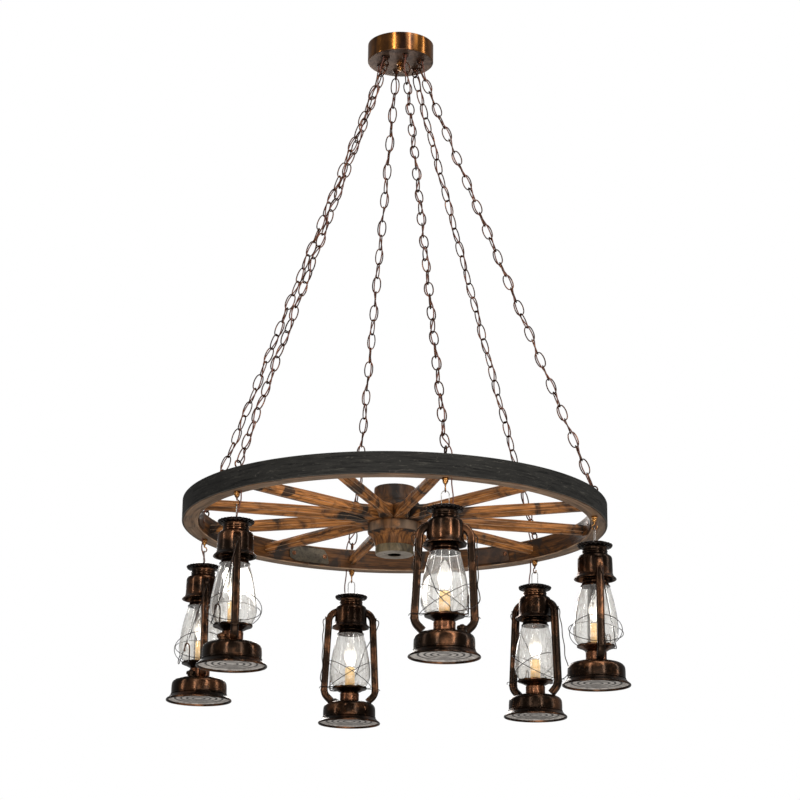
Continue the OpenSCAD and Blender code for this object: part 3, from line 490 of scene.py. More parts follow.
def joint_plate_finish():
    """Olive-grey iron plate, dull and stained."""
    made = Finish("plate_iron")
    at = made.where()
    clouds = made.noise(at, 28, 6, 0.68, 0.8)
    pits = made.noise(at, 240, 3, 0.6)
    clouded = made.ramp(clouds, (0.34, 0), (0.64, 1))
    ground = made.blend(clouded, (0.030, 0.025, 0.018), (0.115, 0.092, 0.062))
    ground = made.blend(made.ramp(pits, (0.30, 0.6), (0.50, 0)), ground, (0.012, 0.010, 0.008))
    made.set(Base_Color=ground, Metallic=0.4, Roughness=made.ramp(clouds, (0.3, 0.60), (0.7, 0.40)))
    made.bump(made.blend(0.5, clouds, pits), 0.25, 0.001)
    return made.material


FINISHES = {}


def finish(name):
    """The material of that name, made once."""
    if name not in FINISHES:
        lantern, chain = settings("lantern"), settings("chain")
        makers = {
            "copper": canopy_finish,
            "bronze_chain": lambda: metal_finish("bronze_chain", tuple(chain.bronze), (0.30, 0.125, 0.065),
                                                 0.50, 0.68, (0.26, 0.46), 40, 0.9),
            "hook_copper": lambda: metal_finish("hook_copper", (0.16, 0.062, 0.022), (0.62, 0.30, 0.09),
                                                0.42, 0.60, (0.16, 0.30), 60, 0.95),
            "cord": cord_finish,
            "iron": iron_finish,
            "wood": lambda: wood_finish("weathered_wood"),
            "rim_wood": lambda: wood_finish("rim_wood", 0.24, 1.0),
            "hub_wood": lambda: wood_finish("turned_wood", 0.62, 1.25, (1, 1, 0.10)),
            "hub_brass": band_finish,
            "plate_iron": joint_plate_finish,
            "plate_brown": lambda: metal_finish("plate_brown", (0.030, 0.014, 0.007), (0.085, 0.038, 0.016),
                                                0.42, 0.62, (0.45, 0.6), 30, 0.1, 0.2),
            "lantern": lambda: metal_finish("lantern_bronze", tuple(lantern.bronze), tuple(lantern.rubbed),
                                            0.48, 0.70, (0.14, 0.30), 16, 0.95, 0.2),
            "cap_black": lambda: metal_finish("cap_black", (0.010, 0.007, 0.006), (0.075, 0.042, 0.028),
                                              0.55, 0.72, (0.14, 0.30), 40, 0.9, 0.3),
            "burner": lambda: metal_finish("burner_bronze", (0.15, 0.062, 0.032), (0.36, 0.16, 0.08),
                                           0.42, 0.66, (0.2, 0.36), 40, 0.93),
            "bail": lambda: metal_finish("bail_wire", (0.022, 0.014, 0.011), (0.085, 0.045, 0.03),
                                         0.5, 0.75, (0.32, 0.5), 40, 0.7),
            "steel": lambda: metal_finish("zinc_steel", (0.34, 0.32, 0.30), (0.60, 0.585, 0.56),
                                          0.35, 0.6, (0.22, 0.4), 60, 0.95),
            "glass": glass_finish,
            "bulb": bulb_finish,
            "candle": candle_finish,
            "under_plate": plate_finish,
        }
        FINISHES[name] = makers[name]()
    return FINISHES[name]


# ------------------------------------------------------------------ making meshes

SHARP = radians(40)


def eased(points, radius, steps=3, closed=False):
    """Rounds the corners of a line or loop of 2-D points."""
    made = []
    count = len(points)
    for i, point in enumerate(points):
        if not closed and i in (0, count - 1):
            made.append(tuple(point))
            continue
        here = Vector(point)
        arms = []
        for other in (points[i - 1], points[(i + 1) % count]):
            arm = Vector(other) - here
            reach = min(radius, 0.45 * arm.length)
            arms.append(here + arm.normalized() * reach if arm.length > 1e-9 else here)
        for s in range(steps + 1):
            t = s / steps
            made.append(tuple((1 - t) ** 2 * arms[0] + 2 * t * (1 - t) * here + t * t * arms[1]))
    return made


def walled(line, wall):
    """Closes a line of (radius, height) into a thin wall, on its left as it is drawn."""
    inner = []
    for i, point in enumerate(line):
        a = Vector(line[max(i - 1, 0)])
        b = Vector(line[min(i + 1, len(line) - 1)])
        along = (b - a).normalized()
        normal = Vector((-along.y, along.x))
        inner.append((max(point[0] + normal.x * wall, 0), point[1] + normal.y * wall))
    return list(line) + inner[::-1]


def spun(profile, steps=72, closed=True):
    """A shape turned about +Z from (radius, height) in millimetres."""
    bm = bmesh.new()
    verts = [bm.verts.new((r * MM, 0, z * MM)) for r, z in profile]
    edges = [bm.edges.new(pair) for pair in zip(verts, verts[1:])]
    if closed and (profile[0][0] > 1e-6 or profile[-1][0] > 1e-6):
        edges.append(bm.edges.new((verts[-1], verts[0])))
    bmesh.ops.spin(bm, geom=verts + edges, cent=(0, 0, 0), axis=(0, 0, 1), angle=2 * pi, steps=steps,
                   use_merge=True)
    bmesh.ops.remove_doubles(bm, verts=bm.verts, dist=1e-6)
    bmesh.ops.recalc_face_normals(bm, faces=bm.faces)
    return bm


def wire(points, diameter, closed=False, sides=3, smooth=False):
    """A round wire along points in millimetres."""
    curve = bpy.data.curves.new("wire", "CURVE")
    curve.dimensions = "3D"
    curve.bevel_depth = diameter / 2 * MM
    curve.bevel_resolution = sides
    curve.use_fill_caps = not closed
    curve.twist_mode = "MINIMUM"
    if smooth:
        spline = curve.splines.new("BEZIER")
        spline.bezier_points.add(len(points) - 1)
        for knot, point in zip(spline.bezier_points, points):
            knot.co = Vector(point) * MM
            knot.handle_left_type = knot.handle_right_type = "AUTO"
        spline.resolution_u = smooth
    else:
        spline = curve.splines.new("POLY")
        spline.points.add(len(points) - 1)
        for knot, point in zip(spline.points, points):
            knot.co = (*(Vector(point) * MM), 1)
    spline.use_cyclic_u = closed
    holder = bpy.data.objects.new("wire", curve)
    mesh = bpy.data.meshes.new_from_object(holder)
    bm = bmesh.new()
    bm.from_mesh(mesh)
    bpy.data.objects.remove(holder)
    bpy.data.curves.remove(curve)
    bpy.data.meshes.remove(mesh)
    bmesh.ops.remove_doubles(bm, verts=bm.verts, dist=1e-7)
    bmesh.ops.recalc_face_normals(bm, faces=bm.faces)
    return bm


def arc(centre, radius, start, end, steps, plane="XZ"):
    """Points on an arc, in degrees, in the XZ or XY plane."""
    made = []
    for i in range(steps + 1):
        a = radians(start + (end - start) * i / steps)
        u, v = radius * cos(a), radius * sin(a)
        made.append(Vector(centre) + Vector((u, 0, v) if plane == "XZ" else (u, v, 0)))
    return made


def swept(section, start, moves):
    """A tube: a section across +X in the YZ plane, carried along turns in the XZ plane.

    A move is ("ahead", length) or ("turn", radius, degrees), positive towards -Z.
    """
    bm = bmesh.new()
    ring = [bm.verts.new(Vector((0, y, z)) * MM) for y, z in section]
    face = bm.faces.new(ring)
    at, heading = Vector(start) * MM, 0.0
    bmesh.ops.translate(bm, verts=bm.verts, vec=at)
    geometry = [face]
    for move in moves:
        if move[0] == "ahead":
            step = Vector((cos(heading), 0, -sin(heading))) * move[1] * MM
            made = bmesh.ops.extrude_face_region(bm, geom=geometry)["geom"]
            bmesh.ops.translate(bm, vec=step, verts=[v for v in made if isinstance(v, bmesh.types.BMVert)])
            geometry = [f for f in made if isinstance(f, bmesh.types.BMFace)]
            at = at + step
        else:
            _, radius, angle = move
            centre = at + Vector((-sin(heading), 0, -cos(heading))) * radius * MM
            made = bmesh.ops.spin(bm, geom=geometry, cent=centre, axis=(0, 1, 0), angle=radians(angle),
                                  steps=max(3, int(abs(angle) / 7)))["geom_last"]
            geometry = [f for f in made if isinstance(f, bmesh.types.BMFace)]
            at = centre + Matrix.Rotation(radians(angle), 3, "Y") @ (at - centre)
            heading += radians(angle)
    bmesh.ops.remove_doubles(bm, verts=bm.verts, dist=1e-7)
    doomed = [f for f in bm.faces if all(len(e.link_faces) > 2 for e in f.edges)]
    bmesh.ops.delete(bm, geom=doomed, context="FACES_ONLY")
    bmesh.ops.recalc_face_normals(bm, faces=bm.faces)
    return bm


def rounded_section(width, height, corner, steps=3):
    """Corner points of a rounded rectangle."""
    w, h = width / 2, height / 2
    return eased([(-w, -h), (w, -h), (w, h), (-w, h)], corner, steps, True)


def disc(radius, low, high, edge=0.4, steps=36):
    """A short turned cylinder with eased edges."""
    line = eased([(0, low), (radius, low), (radius, high), (0, high)], edge)[1:-1]
    return spun([(0, low)] + line + [(0, high)], steps, closed=False)


def placed(bm, matrix):
    bmesh.ops.transform(bm, matrix=matrix, verts=bm.verts)
    return bm


def joined(parts):
    """One mesh of several, each (bmesh, matrix or None, material number)."""
    whole = bmesh.new()
    for bm, matrix, number in parts:
        if matrix is not None:
            placed(bm, matrix)
        for face in bm.faces:
            face.material_index = number
        mesh = bpy.data.meshes.new("part")
        bm.to_mesh(mesh)
        bm.free()
        whole.from_mesh(mesh)
        bpy.data.meshes.remove(mesh)
    return whole


def marked(bm, name, level):
    """Gives every point of a mesh a number from level(point)."""
    layer = bm.verts.layers.float.get(name) or bm.verts.layers.float.new(name)
    for v in bm.verts:
        v[layer] = level(v.co)
    return bm


def worn_and_lit_arrises(bm, amount, keep=None):
    """Marks wear and a painted highlight on the narrow faces of eased edges only, so that the flats keep
    their colour.
    """
    layer = bm.verts.layers.float.new("wear_and_highlight")
    for v in bm.verts:
        narrow = all(min(e.calc_length() for e in f.edges) < 1.8 * MM for f in v.link_faces)
        v[layer] = amount if narrow and (keep is None or keep(v.co)) else 0.0


def grained(bm, where):
    """Gives every point its place in the grain: along it, across it and up."""
    layer = bm.verts.layers.float_vector.get("grain") or bm.verts.layers.float_vector.new("grain")
    for v in bm.verts:
        v[layer] = Vector(where(v.co))
    return bm


def around_rim(co, middle):
    """Grain that runs round the wheel, counted from the middle of a felloe, in degrees."""
    turn = (atan2(co.y, co.x) - radians(middle) + pi) % (2 * pi) - pi
    return turn * WHEEL_R * MM, co.xy.length, co.z


def finished(name, bm, finishes, body="root", replaces=(), sharp=SHARP):
    """Makes a mesh an object in its place, with its finishes, riding on its body."""
    for edge in bm.edges:
        edge.smooth = len(edge.link_faces) == 2 and edge.calc_face_angle(0) < sharp
    for face in bm.faces:
        face.smooth = True
    mesh = bpy.data.meshes.new(name)
    bm.to_mesh(mesh)
    bm.free()
    obj = bpy.data.objects.new(name, mesh)
    bpy.context.scene.collection.objects.link(obj)
    finishes = [finishes] if isinstance(finishes, str) else finishes
    for each in finishes:
        mesh.materials.append(finish(each))
    if replaces:
        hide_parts(*replaces)
    if body:
        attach(obj, body)
    return obj


# ------------------------------------------------------------------ canopy


def canopy():
    pick = settings("canopy")
    r, h, t = pick.diameter / 2 / MM, pick.height / MM, pick.wall / MM
    line = [(r, -0.2), (r, -h + 2.4), (r - 0.7, -h + 0.7), (r - 2.4, -h), (r - 14, -h), (r - 15, -h),
            (5, -h)]
    drum = spun(walled(eased(line, 1.0), -t), 144)
    finished("canopy_drum", drum, "copper", replaces=["canopy"])
    finial = [(0, -22), (4.5, -21.4), (7.8, -19.2), (9.8, -15.8), (10.2, -12.8), (9.4, -9.4), (7.4, -6.8),
              (7.2, -5.4), (8.6, -4.4), (10.6, -3.2), (11, -1.6), (10.4, -0.1), (0, 0)]
    ball = spun([(x, z - h - 0.3) for x, z in finial], 48, closed=False)
    finished("canopy_finial_ball", ball, "hook_copper", replaces=["canopy_finial"])


def canopy_loops():
    pick = settings("canopy")
    h = pick.height / MM
    circle = pick.loop_circle / MM
    low = box_mm("canopy_loops")[0]
    ring_r, ring_wire = 7.5, 3.6
    ring_z = low[2] + ring_r + ring_wire / 2
    parts = []
    for k in range(CHAINS):
        place = turned_about_z(AROUND[k])
        turned = [(0, 10), (2.6, 10), (4.2, 8.6), (6.4, 6.8), (6.4, 4.4), (4.8, 3.6), (5.2, 2.6),
                  (9.2, 1.8), (9.2, 0.4), (0, 0.4)]
        collar = spun(eased([(x, -h - drop) for x, drop in turned], 0.5), 32, closed=False)
        parts.append((collar, place @ Matrix.Translation((circle * MM, 0, 0)), 0))
        parts.append((wire(arc((circle, 0, ring_z), ring_r, 0, 354, 40), ring_wire, True), place, 0))
        nut = disc(7, -h + 1.5, -h + 5.5, 0.5, 6)
        parts.append((nut, place @ Matrix.Translation((circle * MM, 0, 0)), 0))
        bush = [(2.0, -h - 2.2), (4.4, -h - 2.2), (4.8, -h - 0.5), (2.0, -h - 0.5)]
        bush = spun(eased(bush, 0.4, 3, True), 32)
        parts.append((bush, place @ Matrix.Translation(((circle + CORD_HOLE) * MM, 0, 0)), 1))
    finished("canopy_chain_loops", joined(parts), ["bronze_chain", "cap_black"], replaces=["canopy_loops"])


def ceiling_bar():
    node = frame["nodes"]["ceiling_bar"]
    node.data.materials.clear()
    node.data.materials.append(finish("steel"))


# ------------------------------------------------------------------ chains and cords


class ChainLine:
    """Where the links of a chain and its woven cord lie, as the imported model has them."""

    def __init__(self):
        chain, pick = settings("chain"), settings("canopy")
        self.count = chain.links
        self.wire = chain.wire / MM
        self.length, self.width = chain.link_length / MM, chain.link_width / MM
        self.circle = pick.loop_circle / MM
        self.top = box_mm("canopy_loops")[0][2] + 9
        self.pitch = self.length - 2 * self.wire - SEAT
        self.span = self.length - self.wire
        self.first = -7.5 + 1.5 + self.wire / 2 + SEAT
        spread = HOOK_R - self.circle
        ends = 1.5 + 2 + self.wire + 2 * SEAT - 16.5
        run = (self.count - 1) * self.pitch + self.span - ends
        self.tilt = asin(spread / run)
        self.weave = self.width / 2 - self.wire - chain.cord / MM / 2 - 1.45

    def twist(self, i):
        return 90 * i + 16 * sin(radians(i * 67)) * sin(pi * i / (self.count - 1))

    def place(self, k):
        turn = Matrix.Rotation(-self.tilt, 4, "Y")
        start = Matrix.Translation(Vector((self.circle, 0, self.top)) * MM)
        return turned_about_z(AROUND[k]) @ start @ turn

    def cord_at(self, s):
        """The cord beside link s, in the chain's own frame."""
        i = int(s)
        f = s - i
        f = f * f * (3 - 2 * f)
        a = radians((1 - f) * self.twist(i) + f * self.twist(i + 1) + 270)
        down = self.span / 2 + s * self.pitch
        return Vector((self.weave * cos(a), self.weave * sin(a), self.first - down))


def chains():
    line = ChainLine()
    half, tall = (line.width - line.wire) / 2, line.span / 2
    path = []
    for i in range(26):
        a = 2 * pi * i / 26
        bulge = half * abs(cos(a)) ** 0.72
        path.append(Vector((bulge if cos(a) > 0 else -bulge, 0, tall * sin(a) - tall)))
    for k in range(CHAINS):
        place = line.place(k)
        parts = []
        for i in range(line.count):
            link = wire(path, line.wire + 0.3, True, 2)
            turn = turned_about_z(90 + line.twist(i))
            at = Matrix.Translation((0, 0, (line.first - i * line.pitch) * MM))
            parts.append((link, place @ at @ turn, 0))
        finished(f"chain_{k + 1}_links", joined(parts), "bronze_chain", replaces=[f"chain_{k + 1}"])


def rim_bore():
    """Middle of the bore that a cord takes through the rim, for a chain on +X."""
    turn = radians(BORE_TURN)
    return Vector((HOOK_R * cos(turn), HOOK_R * sin(turn), 0))


def lamp_cord_points():
    """A lamp cord's points in the plane of its chain: out along +X from the canopy to the rim."""
    line = ChainLine()
    h = settings("canopy").height / MM
    hole = line.circle + CORD_HOLE
    bore = rim_bore()
    turn = Matrix.Rotation(-line.tilt, 3, "Y")
    top = [Vector((hole, 0, -h + 6)), Vector((hole, 0, -h - 4)), Vector((hole + 1, -1, -h - 14)),
           Vector((hole + 4, -4, -h - 26))]
    start = Vector((line.circle, 0, line.top))
    woven = [turn @ line.cord_at(0.5 + s / 2) + start for s in range(2 * line.count - 3)]
    foot = [bore + Vector((-9, -3, RIM_TOP + 24)), bore + Vector((-1, 0, RIM_TOP + 9)),
            bore + Vector((0, 0, RIM_TOP - 2)), bore + Vector((0, 0, RIM_LOW - 3))]
    return top + woven + foot


def lamp_cords():
    points = lamp_cord_points()
    diameter = settings("chain").cord / MM
    for k in range(CHAINS):
        bm = wire([turned_about_z(AROUND[k]) @ p for p in points], diameter, sides=3, smooth=4)
        finished(f"lamp_cord_{k + 1}", bm, "cord", replaces=["lamp_cords"])


def drop_cords():
    """The last bend of each cord, from the rim into its lantern's cap."""
    diameter = settings("chain").cord / MM
    bore = rim_bore()
    cap = LANTERN_Z + CAP_Z
    for k in range(CHAINS):
        turn = radians(FACING[k] - AROUND[k])
        hole = Vector((HOOK_R - CAP_HOLE * sin(turn), CAP_HOLE * cos(turn), 0))
        middle = (bore + hole) / 2
        drops = [bore + Vector((0, 0, RIM_LOW - 3.3)), bore + Vector((0, 0, RIM_LOW - 12)),
                 bore + Vector((1, 1, RIM_LOW - 24)), middle + Vector((1, 2, (RIM_LOW - 24 + cap + 15) / 2)),
                 hole + Vector((0, 1, cap + 15)), hole + Vector((0, 0, cap + 6)),
                 hole + Vector((0, 0, cap - 14))]
        points = [turned_about_z(AROUND[k]) @ p for p in drops]
        bm = wire(points, diameter, sides=3, smooth=5)
        obj = finished(f"drop_cord_{k + 1}", bm, "cord", body=None, replaces=["drop_cords"])
        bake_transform(obj)


# ------------------------------------------------------------------ wheel


def rim_inner():
    """Radius of the rim's inner face, in millimetres."""
    pick = settings("wheel")
    return WHEEL_R - pick.tyre_thickness / MM - SEAT - pick.rim_thickness / MM


def tyre():
    low, high = box_mm("tyre")
    t = settings("wheel").tyre_thickness / MM
    rows = 9
    outside = [(WHEEL_R, low[2] + 0.8 + (high[2] - low[2] - 1.6) * i / rows) for i in range(rows + 1)]
    profile = [(WHEEL_R - t, low[2]), (WHEEL_R - 0.8, low[2])] + outside
    profile += [(WHEEL_R - 0.8, high[2]), (WHEEL_R - t, high[2])]
    bm = spun(profile, 240)
    marked(bm, "wear_and_highlight", lambda co: 0.9 if min(co.z / MM - low[2], high[2] - co.z / MM) < 0.5 else 0.0)
    finished("tyre_band", bm, "iron", replaces=["tyre"])


def felloes():
    low, high = RIM_LOW, RIM_TOP
    inner = rim_inner()
    outer = inner + settings("wheel").rim_thickness / MM
    section = eased([(inner, low), (outer, low), (outer, high), (inner, high)], 2.6, 3, True)
    parts = []
    random.seed(5)
    for k in range(CHAINS):
        bm = bmesh.new()
        face = bm.faces.new([bm.verts.new((r * MM, 0, z * MM)) for r, z in section])
        arc_span = FELLOE_SPAN - 0.07
        placed(bm, turned_about_z(-arc_span / 2))
        spin = bmesh.ops.spin(bm, geom=[face], cent=(0, 0, 0), axis=(0, 0, 1), angle=radians(arc_span),
                              steps=40)
        last = [f for f in spin["geom_last"] if isinstance(f, bmesh.types.BMFace)]
        bmesh.ops.recalc_face_normals(bm, faces=bm.faces)
        reach = (inner + 3) * MM
        inside = [f for f in bm.faces if abs(f.normal.z) < 0.3 and f not in last and f != face
                  and f.calc_center_median().xy.length < reach]
        upright = {e for f in inside for e in f.edges if abs((e.verts[0].co - e.verts[1].co).z) > 0.02}
        bmesh.ops.subdivide_edges(bm, edges=list(upright), cuts=4)
        middle = AROUND[k] - 15
        placed(bm, turned_about_z(middle))
        offset = Vector((random.uniform(1, 9), random.uniform(1, 9), 0))
        grained(bm, lambda co: Vector(around_rim(co, middle)) + offset)
        ends = [radians(middle - FELLOE_SPAN / 2), radians(middle + FELLOE_SPAN / 2)]

        def near_joint(co):
            gap = min(abs((atan2(co.y, co.x) - e + pi) % (2 * pi) - pi) for e in ends) * outer
            return max(0.0, 1 - gap / 26) * 0.8

        marked(bm, "soot_and_shade", near_joint)
        marked(bm, "bare", lambda co: 1.0)
        worn_and_lit_arrises(bm, 0.9, lambda co: co.xy.length / MM < inner + 8)
        parts.append((bm, None, 0))
    finished("wooden_felloes", joined(parts), "rim_wood", replaces=["felloes"])


def spoke_mesh():
    """One spoke along +X: wedge at the hub, chamfered shaft that swells, and tenon end."""
    pick = settings("wheel")
    core, r = pick.hub_core / MM, pick.spoke / MM / 2
    end = rim_inner() - SEAT
    half = tan(pi / SPOKES)
    stations = [
        (core + 0.3, core * half - 0.35, r + 3, 0.8), (core + 12, (core + 12) * half - 0.35, r + 3, 1.2),
        (core + 30, r + 2.6, r + 2.8, 3.0), (core + 46, r + 0.6, r + 1.4, 6.6),
        (core + 62, r - 0.8, r + 0.2, 8.0), (core + 100, r - 0.8, r + 0.2, 8.4),
        (core + 160, r - 0.2, r + 0.8, 8.8), (core + 218, r, r + 1, 8.9),
        (core + 290, r - 0.3, r + 0.6, 8.7), (core + 350, r - 1, r - 0.2, 8.3),
        (core + 400, r - 1.6, r - 0.8, 7.6), (end, r - 2, r - 1, 7.0)]
    bm = bmesh.new()
    bmesh.ops.create_circle(bm, cap_ends=True, radius=1, segments=8)
    geometry = list(bm.faces)

    def shape(verts, station):
        x, w, h, c = station
        corners = [(w, h - c), (w - c, h), (c - w, h), (-w, h - c), (-w, c - h), (c - w, -h), (w - c, -h),
                   (w, c - h)]
        for v, (y, z) in zip(verts, corners):
            v.co = Vector((x, y, z)) * MM

    shape(geometry[0].verts, stations[0])
    for station in stations[1:]:
        made = bmesh.ops.extrude_face_region(bm, geom=geometry)["geom"]
        geometry = [f for f in made if isinstance(f, bmesh.types.BMFace)]
        shape(geometry[0].verts, station)
    bmesh.ops.remove_doubles(bm, verts=bm.verts, dist=1e-6)
    caps = [f for f in bm.faces if len(f.verts) == 8 and all(len(e.link_faces) > 2 for e in f.edges)]
    bmesh.ops.delete(bm, geom=caps, context="FACES_ONLY")
    bmesh.ops.recalc_face_normals(bm, faces=bm.faces)
    ridges = [e for e in bm.edges if abs((e.verts[0].co - e.verts[1].co).x) > 0.008]
    bmesh.ops.bevel(bm, geom=ridges, offset=1.5 * MM, offset_type="OFFSET", segments=3, profile=0.5,
                    affect="EDGES", material=-1, clamp_overlap=True)
    bmesh.ops.recalc_face_normals(bm, faces=bm.faces)
    return bm, stations


def spokes():
    random.seed(23)
    parts = []
    z = (RIM_LOW + RIM_TOP) / 2
    for k in range(SPOKES):
        bm, stations = spoke_mesh()
        offset = Vector((random.uniform(1, 9), random.uniform(1, 9), random.uniform(1, 9)))
        near = random.uniform(0.5, 1.0)
        far = random.uniform(0.35, 0.9)
        start, end = stations[0][0] * MM, stations[-1][0] * MM

        # darker towards the hub and the rim: painted shade where the spoke meets them
        def shaded_ends(co):
            return max(0.0, near * (1 - (co.x - start) / 0.10), far * (1 - (end - co.x) / 0.045))

        grained(bm, lambda co: co + offset)
        marked(bm, "soot_and_shade", shaded_ends)
        worn_and_lit_arrises(bm, 1.0, lambda co: co.x > start + 0.012)
        marked(bm, "bare", lambda co: 0.0)
        parts.append((bm, Matrix.Translation((0, 0, z * MM)) @ turned_about_z(360 / SPOKES * k), 0))
    finished("wooden_spokes", joined(parts), "wood", replaces=["spokes"], sharp=radians(32))


def hub():
    pick = settings("wheel")
    flange, core = pick.hub_flange / MM, pick.hub_core / MM - SEAT
    low, high = box_mm("hub")
    z = (RIM_LOW + RIM_TOP) / 2
    gap = 17.3
    bottom, top = low[2] - z, high[2] - z
    lower = [(HUB_BORE, bottom + 2.4), (44, bottom + 2.4), (47.4, bottom + 2.4), (47.4, -75.5),
             (49.6, -73.6), (50.6, -68), (52, -62), (55.2, -55), (60.5, -48.6), (66.2, -44),
             (flange - 0.2, -40.5), (flange, -37), (flange, -22), (flange - 0.6, -18.6),
             (flange - 2.2, -gap), (core, -gap), (core, 0), (HUB_BORE, 0)]
    upper = [(HUB_BORE, 0), (core, 0), (core, gap), (flange - 2.2, gap), (flange - 0.5, 18.6),
             (flange, 20.6), (flange, 25), (flange - 1.6, 28.6), (63, 33), (58.4, 38), (55.4, 43.6),
             (53.6, 50), (53, 55), (53, top - 3), (52, top - 1), (50, top), (HUB_BORE, top)]
    mid = Matrix.Translation((0, 0, z * MM))
    parts = []
    for line, soot_and_shade in ((lower, 0.3), (upper, 1.1)):
        bm = placed(spun(eased(line, 0.9, 2, True), 96), mid)
        marked(bm, "soot_and_shade", lambda co: soot_and_shade if co.z > (z - 20) * MM or co.z < (z - 66) * MM else soot_and_shade * 0.6)
        marked(bm, "bare", lambda co: 0.0)
        marked(bm, "wear_and_highlight", lambda co: 0.35 if co.xy.length / MM > flange - 1.2 and co.z < z * MM else 0.0)
        parts.append((bm, None, 0))
    finished("hub_barrel", joined(parts), "hub_wood", replaces=["hub"])
    band = [(HUB_BORE, bottom + 0.4), (19, bottom), (44.4, bottom), (46.6, bottom + 0.5),
            (48, bottom + 2.6), (48, -76.6), (47.4, -75.4), (46, -75.4), (46, bottom + 2.6),
            (HUB_BORE, bottom + 2.6)]
    parts = [(spun(eased(band, 0.5, 3, True), 96), mid, 0)]
    for turn in (25, 205):
        head = disc(2.1, bottom - 0.1, bottom + 1.4, 0.3, 20)
        parts.append((head, mid @ turned_about_z(turn) @ Matrix.Translation((31 * MM, 0, 0)), 1))
    # a black cup just inside the bore: painted shade in the hole
    bore_shade_cup = [(0, bottom + 26), (HUB_BORE - 0.1, bottom + 26), (HUB_BORE - 0.1, bottom + 1),
            (HUB_BORE + 0.4, bottom + 1), (HUB_BORE + 0.4, bottom + 27), (0, bottom + 27)]
    parts.append((spun(bore_shade_cup, 48, closed=False), mid, 1))
    finished("hub_band", joined(parts), ["hub_brass", "cap_black"], replaces=["hub"])


def joint_plates():
    thick, half = 3, 60
    radius = rim_inner() - SEAT - thick / 2
    z = (RIM_LOW + RIM_TOP) / 2
    outline = [(-half, -20), (38, -20), (57, -14), (half, 0), (57, 14), (38, 20), (-44, 20), (-54, 6)]
    outline = eased(outline, 7, 4, True)
    parts = []
    for k in range(CHAINS):
        place = turned_about_z(AROUND[k] + 15)
        bm = bmesh.new()
        bm.faces.new([bm.verts.new(Vector((x, y, 0)) * MM) for x, y in outline])
        for cut in range(-5, 6):
            geometry = list(bm.verts) + list(bm.edges) + list(bm.faces)
            bmesh.ops.bisect_plane(bm, geom=geometry, plane_co=(cut * 10 * MM, 0, 0), plane_no=(1, 0, 0))
        shell = bmesh.ops.extrude_face_region(bm, geom=list(bm.faces))["geom"]
        fresh = [v for v in shell if isinstance(v, bmesh.types.BMVert)]
        bmesh.ops.translate(bm, vec=(0, 0, thick * MM), verts=fresh)
        bmesh.ops.recalc_face_normals(bm, faces=bm.faces)
        rims = [e for e in bm.edges if len(e.link_faces) == 2 and e.calc_face_angle(0) > radians(60)]
        bmesh.ops.bevel(bm, geom=rims, offset=0.6 * MM, offset_type="OFFSET", segments=2, profile=0.5,
                        affect="EDGES", material=-1, clamp_overlap=True)
        for v in bm.verts:
            turn = v.co.x / (radius * MM)
            reach = (radius + thick / 2) * MM - v.co.z
            v.co = Vector((reach * cos(turn), reach * sin(turn), z * MM + v.co.y))
        bmesh.ops.recalc_face_normals(bm, faces=bm.faces)
        parts.append((bm, place, 0 if k == BARE_PLATE else 2))
        for side in (-1, 1):
            turn = side * (degrees(half / radius) - 1.6)
            screw = disc(6, 0, 1.7, 0.7, 28)
            tip = Matrix.Translation(((radius - 3.4) * MM, 0, z * MM)) @ Matrix.Rotation(pi / 2, 4, "Y")
            parts.append((screw, place @ turned_about_z(turn) @ tip, 1))
    finished("felloe_joint_plates", joined(parts), ["plate_iron", "burner", "plate_brown"],
             replaces=["joint_plates"])


def rim_hooks():
    ferrule = [(0, -15), (3.152, -15), (4.531, -14.2), (5.319, -12.4), (5.91, -10.8), (6.7965, -10.2),
               (6.9935, -8.6), (6.698, -6.6), (6.895, -6), (7.7815, -5.4), (7.9785, -4.6), (7.9785, -1.6),
               (7.5845, -0.5), (6.895, -0.3), (0, -0.3)]
    washer = [(0, 0.3), (8, 0.3), (8, 1.6), (5, 2.2), (2.4, 3.4), (0, 3.6)]
    neck_top = RIM_LOW - 14.6
    shank = [(0, PIVOT_Z + 11.9), (1.5, PIVOT_Z + 11.9), (1.9, PIVOT_Z + 15), (2.8, PIVOT_Z + 18.2),
             (3.4, neck_top), (0, neck_top)]
    eye_z = box_mm("rim_hooks")[1][2] - 11
    for k in range(CHAINS):
        spot = Matrix.Translation(Vector((HOOK_AT[k].x, HOOK_AT[k].y, 0)) * MM) @ turned_about_z(AROUND[k])
        turn = turned_about_z(FACING[k] - AROUND[k])
        base = spun(eased([(r, z + RIM_TOP) for r, z in washer], 0.4), 32, closed=False)
        parts = [(base, spot, 1), (wire(arc((0, 0, eye_z), 9, 0, 353, 36), 4, True), spot, 1)]
        parts.append((spun([(r, z + RIM_LOW) for r, z in ferrule], 40, closed=False), spot, 0))
        parts.append((spun(shank, 24, closed=False), spot, 0))
        hook = arc((0, 0, PIVOT_Z + 6.5), 6.5, 88, 388, 32)
        parts.append((wire(hook, 3, False), spot @ turn, 0))
        finished(f"rim_hook_{k + 1}", joined(parts), ["hook_copper", "bronze_chain"], replaces=["rim_hooks"])


# ------------------------------------------------------------------ lanterns


def hung(k, name, bm, finishes, node, body=None):
    """Hangs a mesh drawn in a standing lantern's own frame on hook k."""
    placed(bm, lantern_place(k))
    return finished(f"lantern_{k + 1}_{name}", bm, finishes, body or f"lantern_{k + 1}",
                    replaces=[f"lantern_{k + 1}_{node}"])


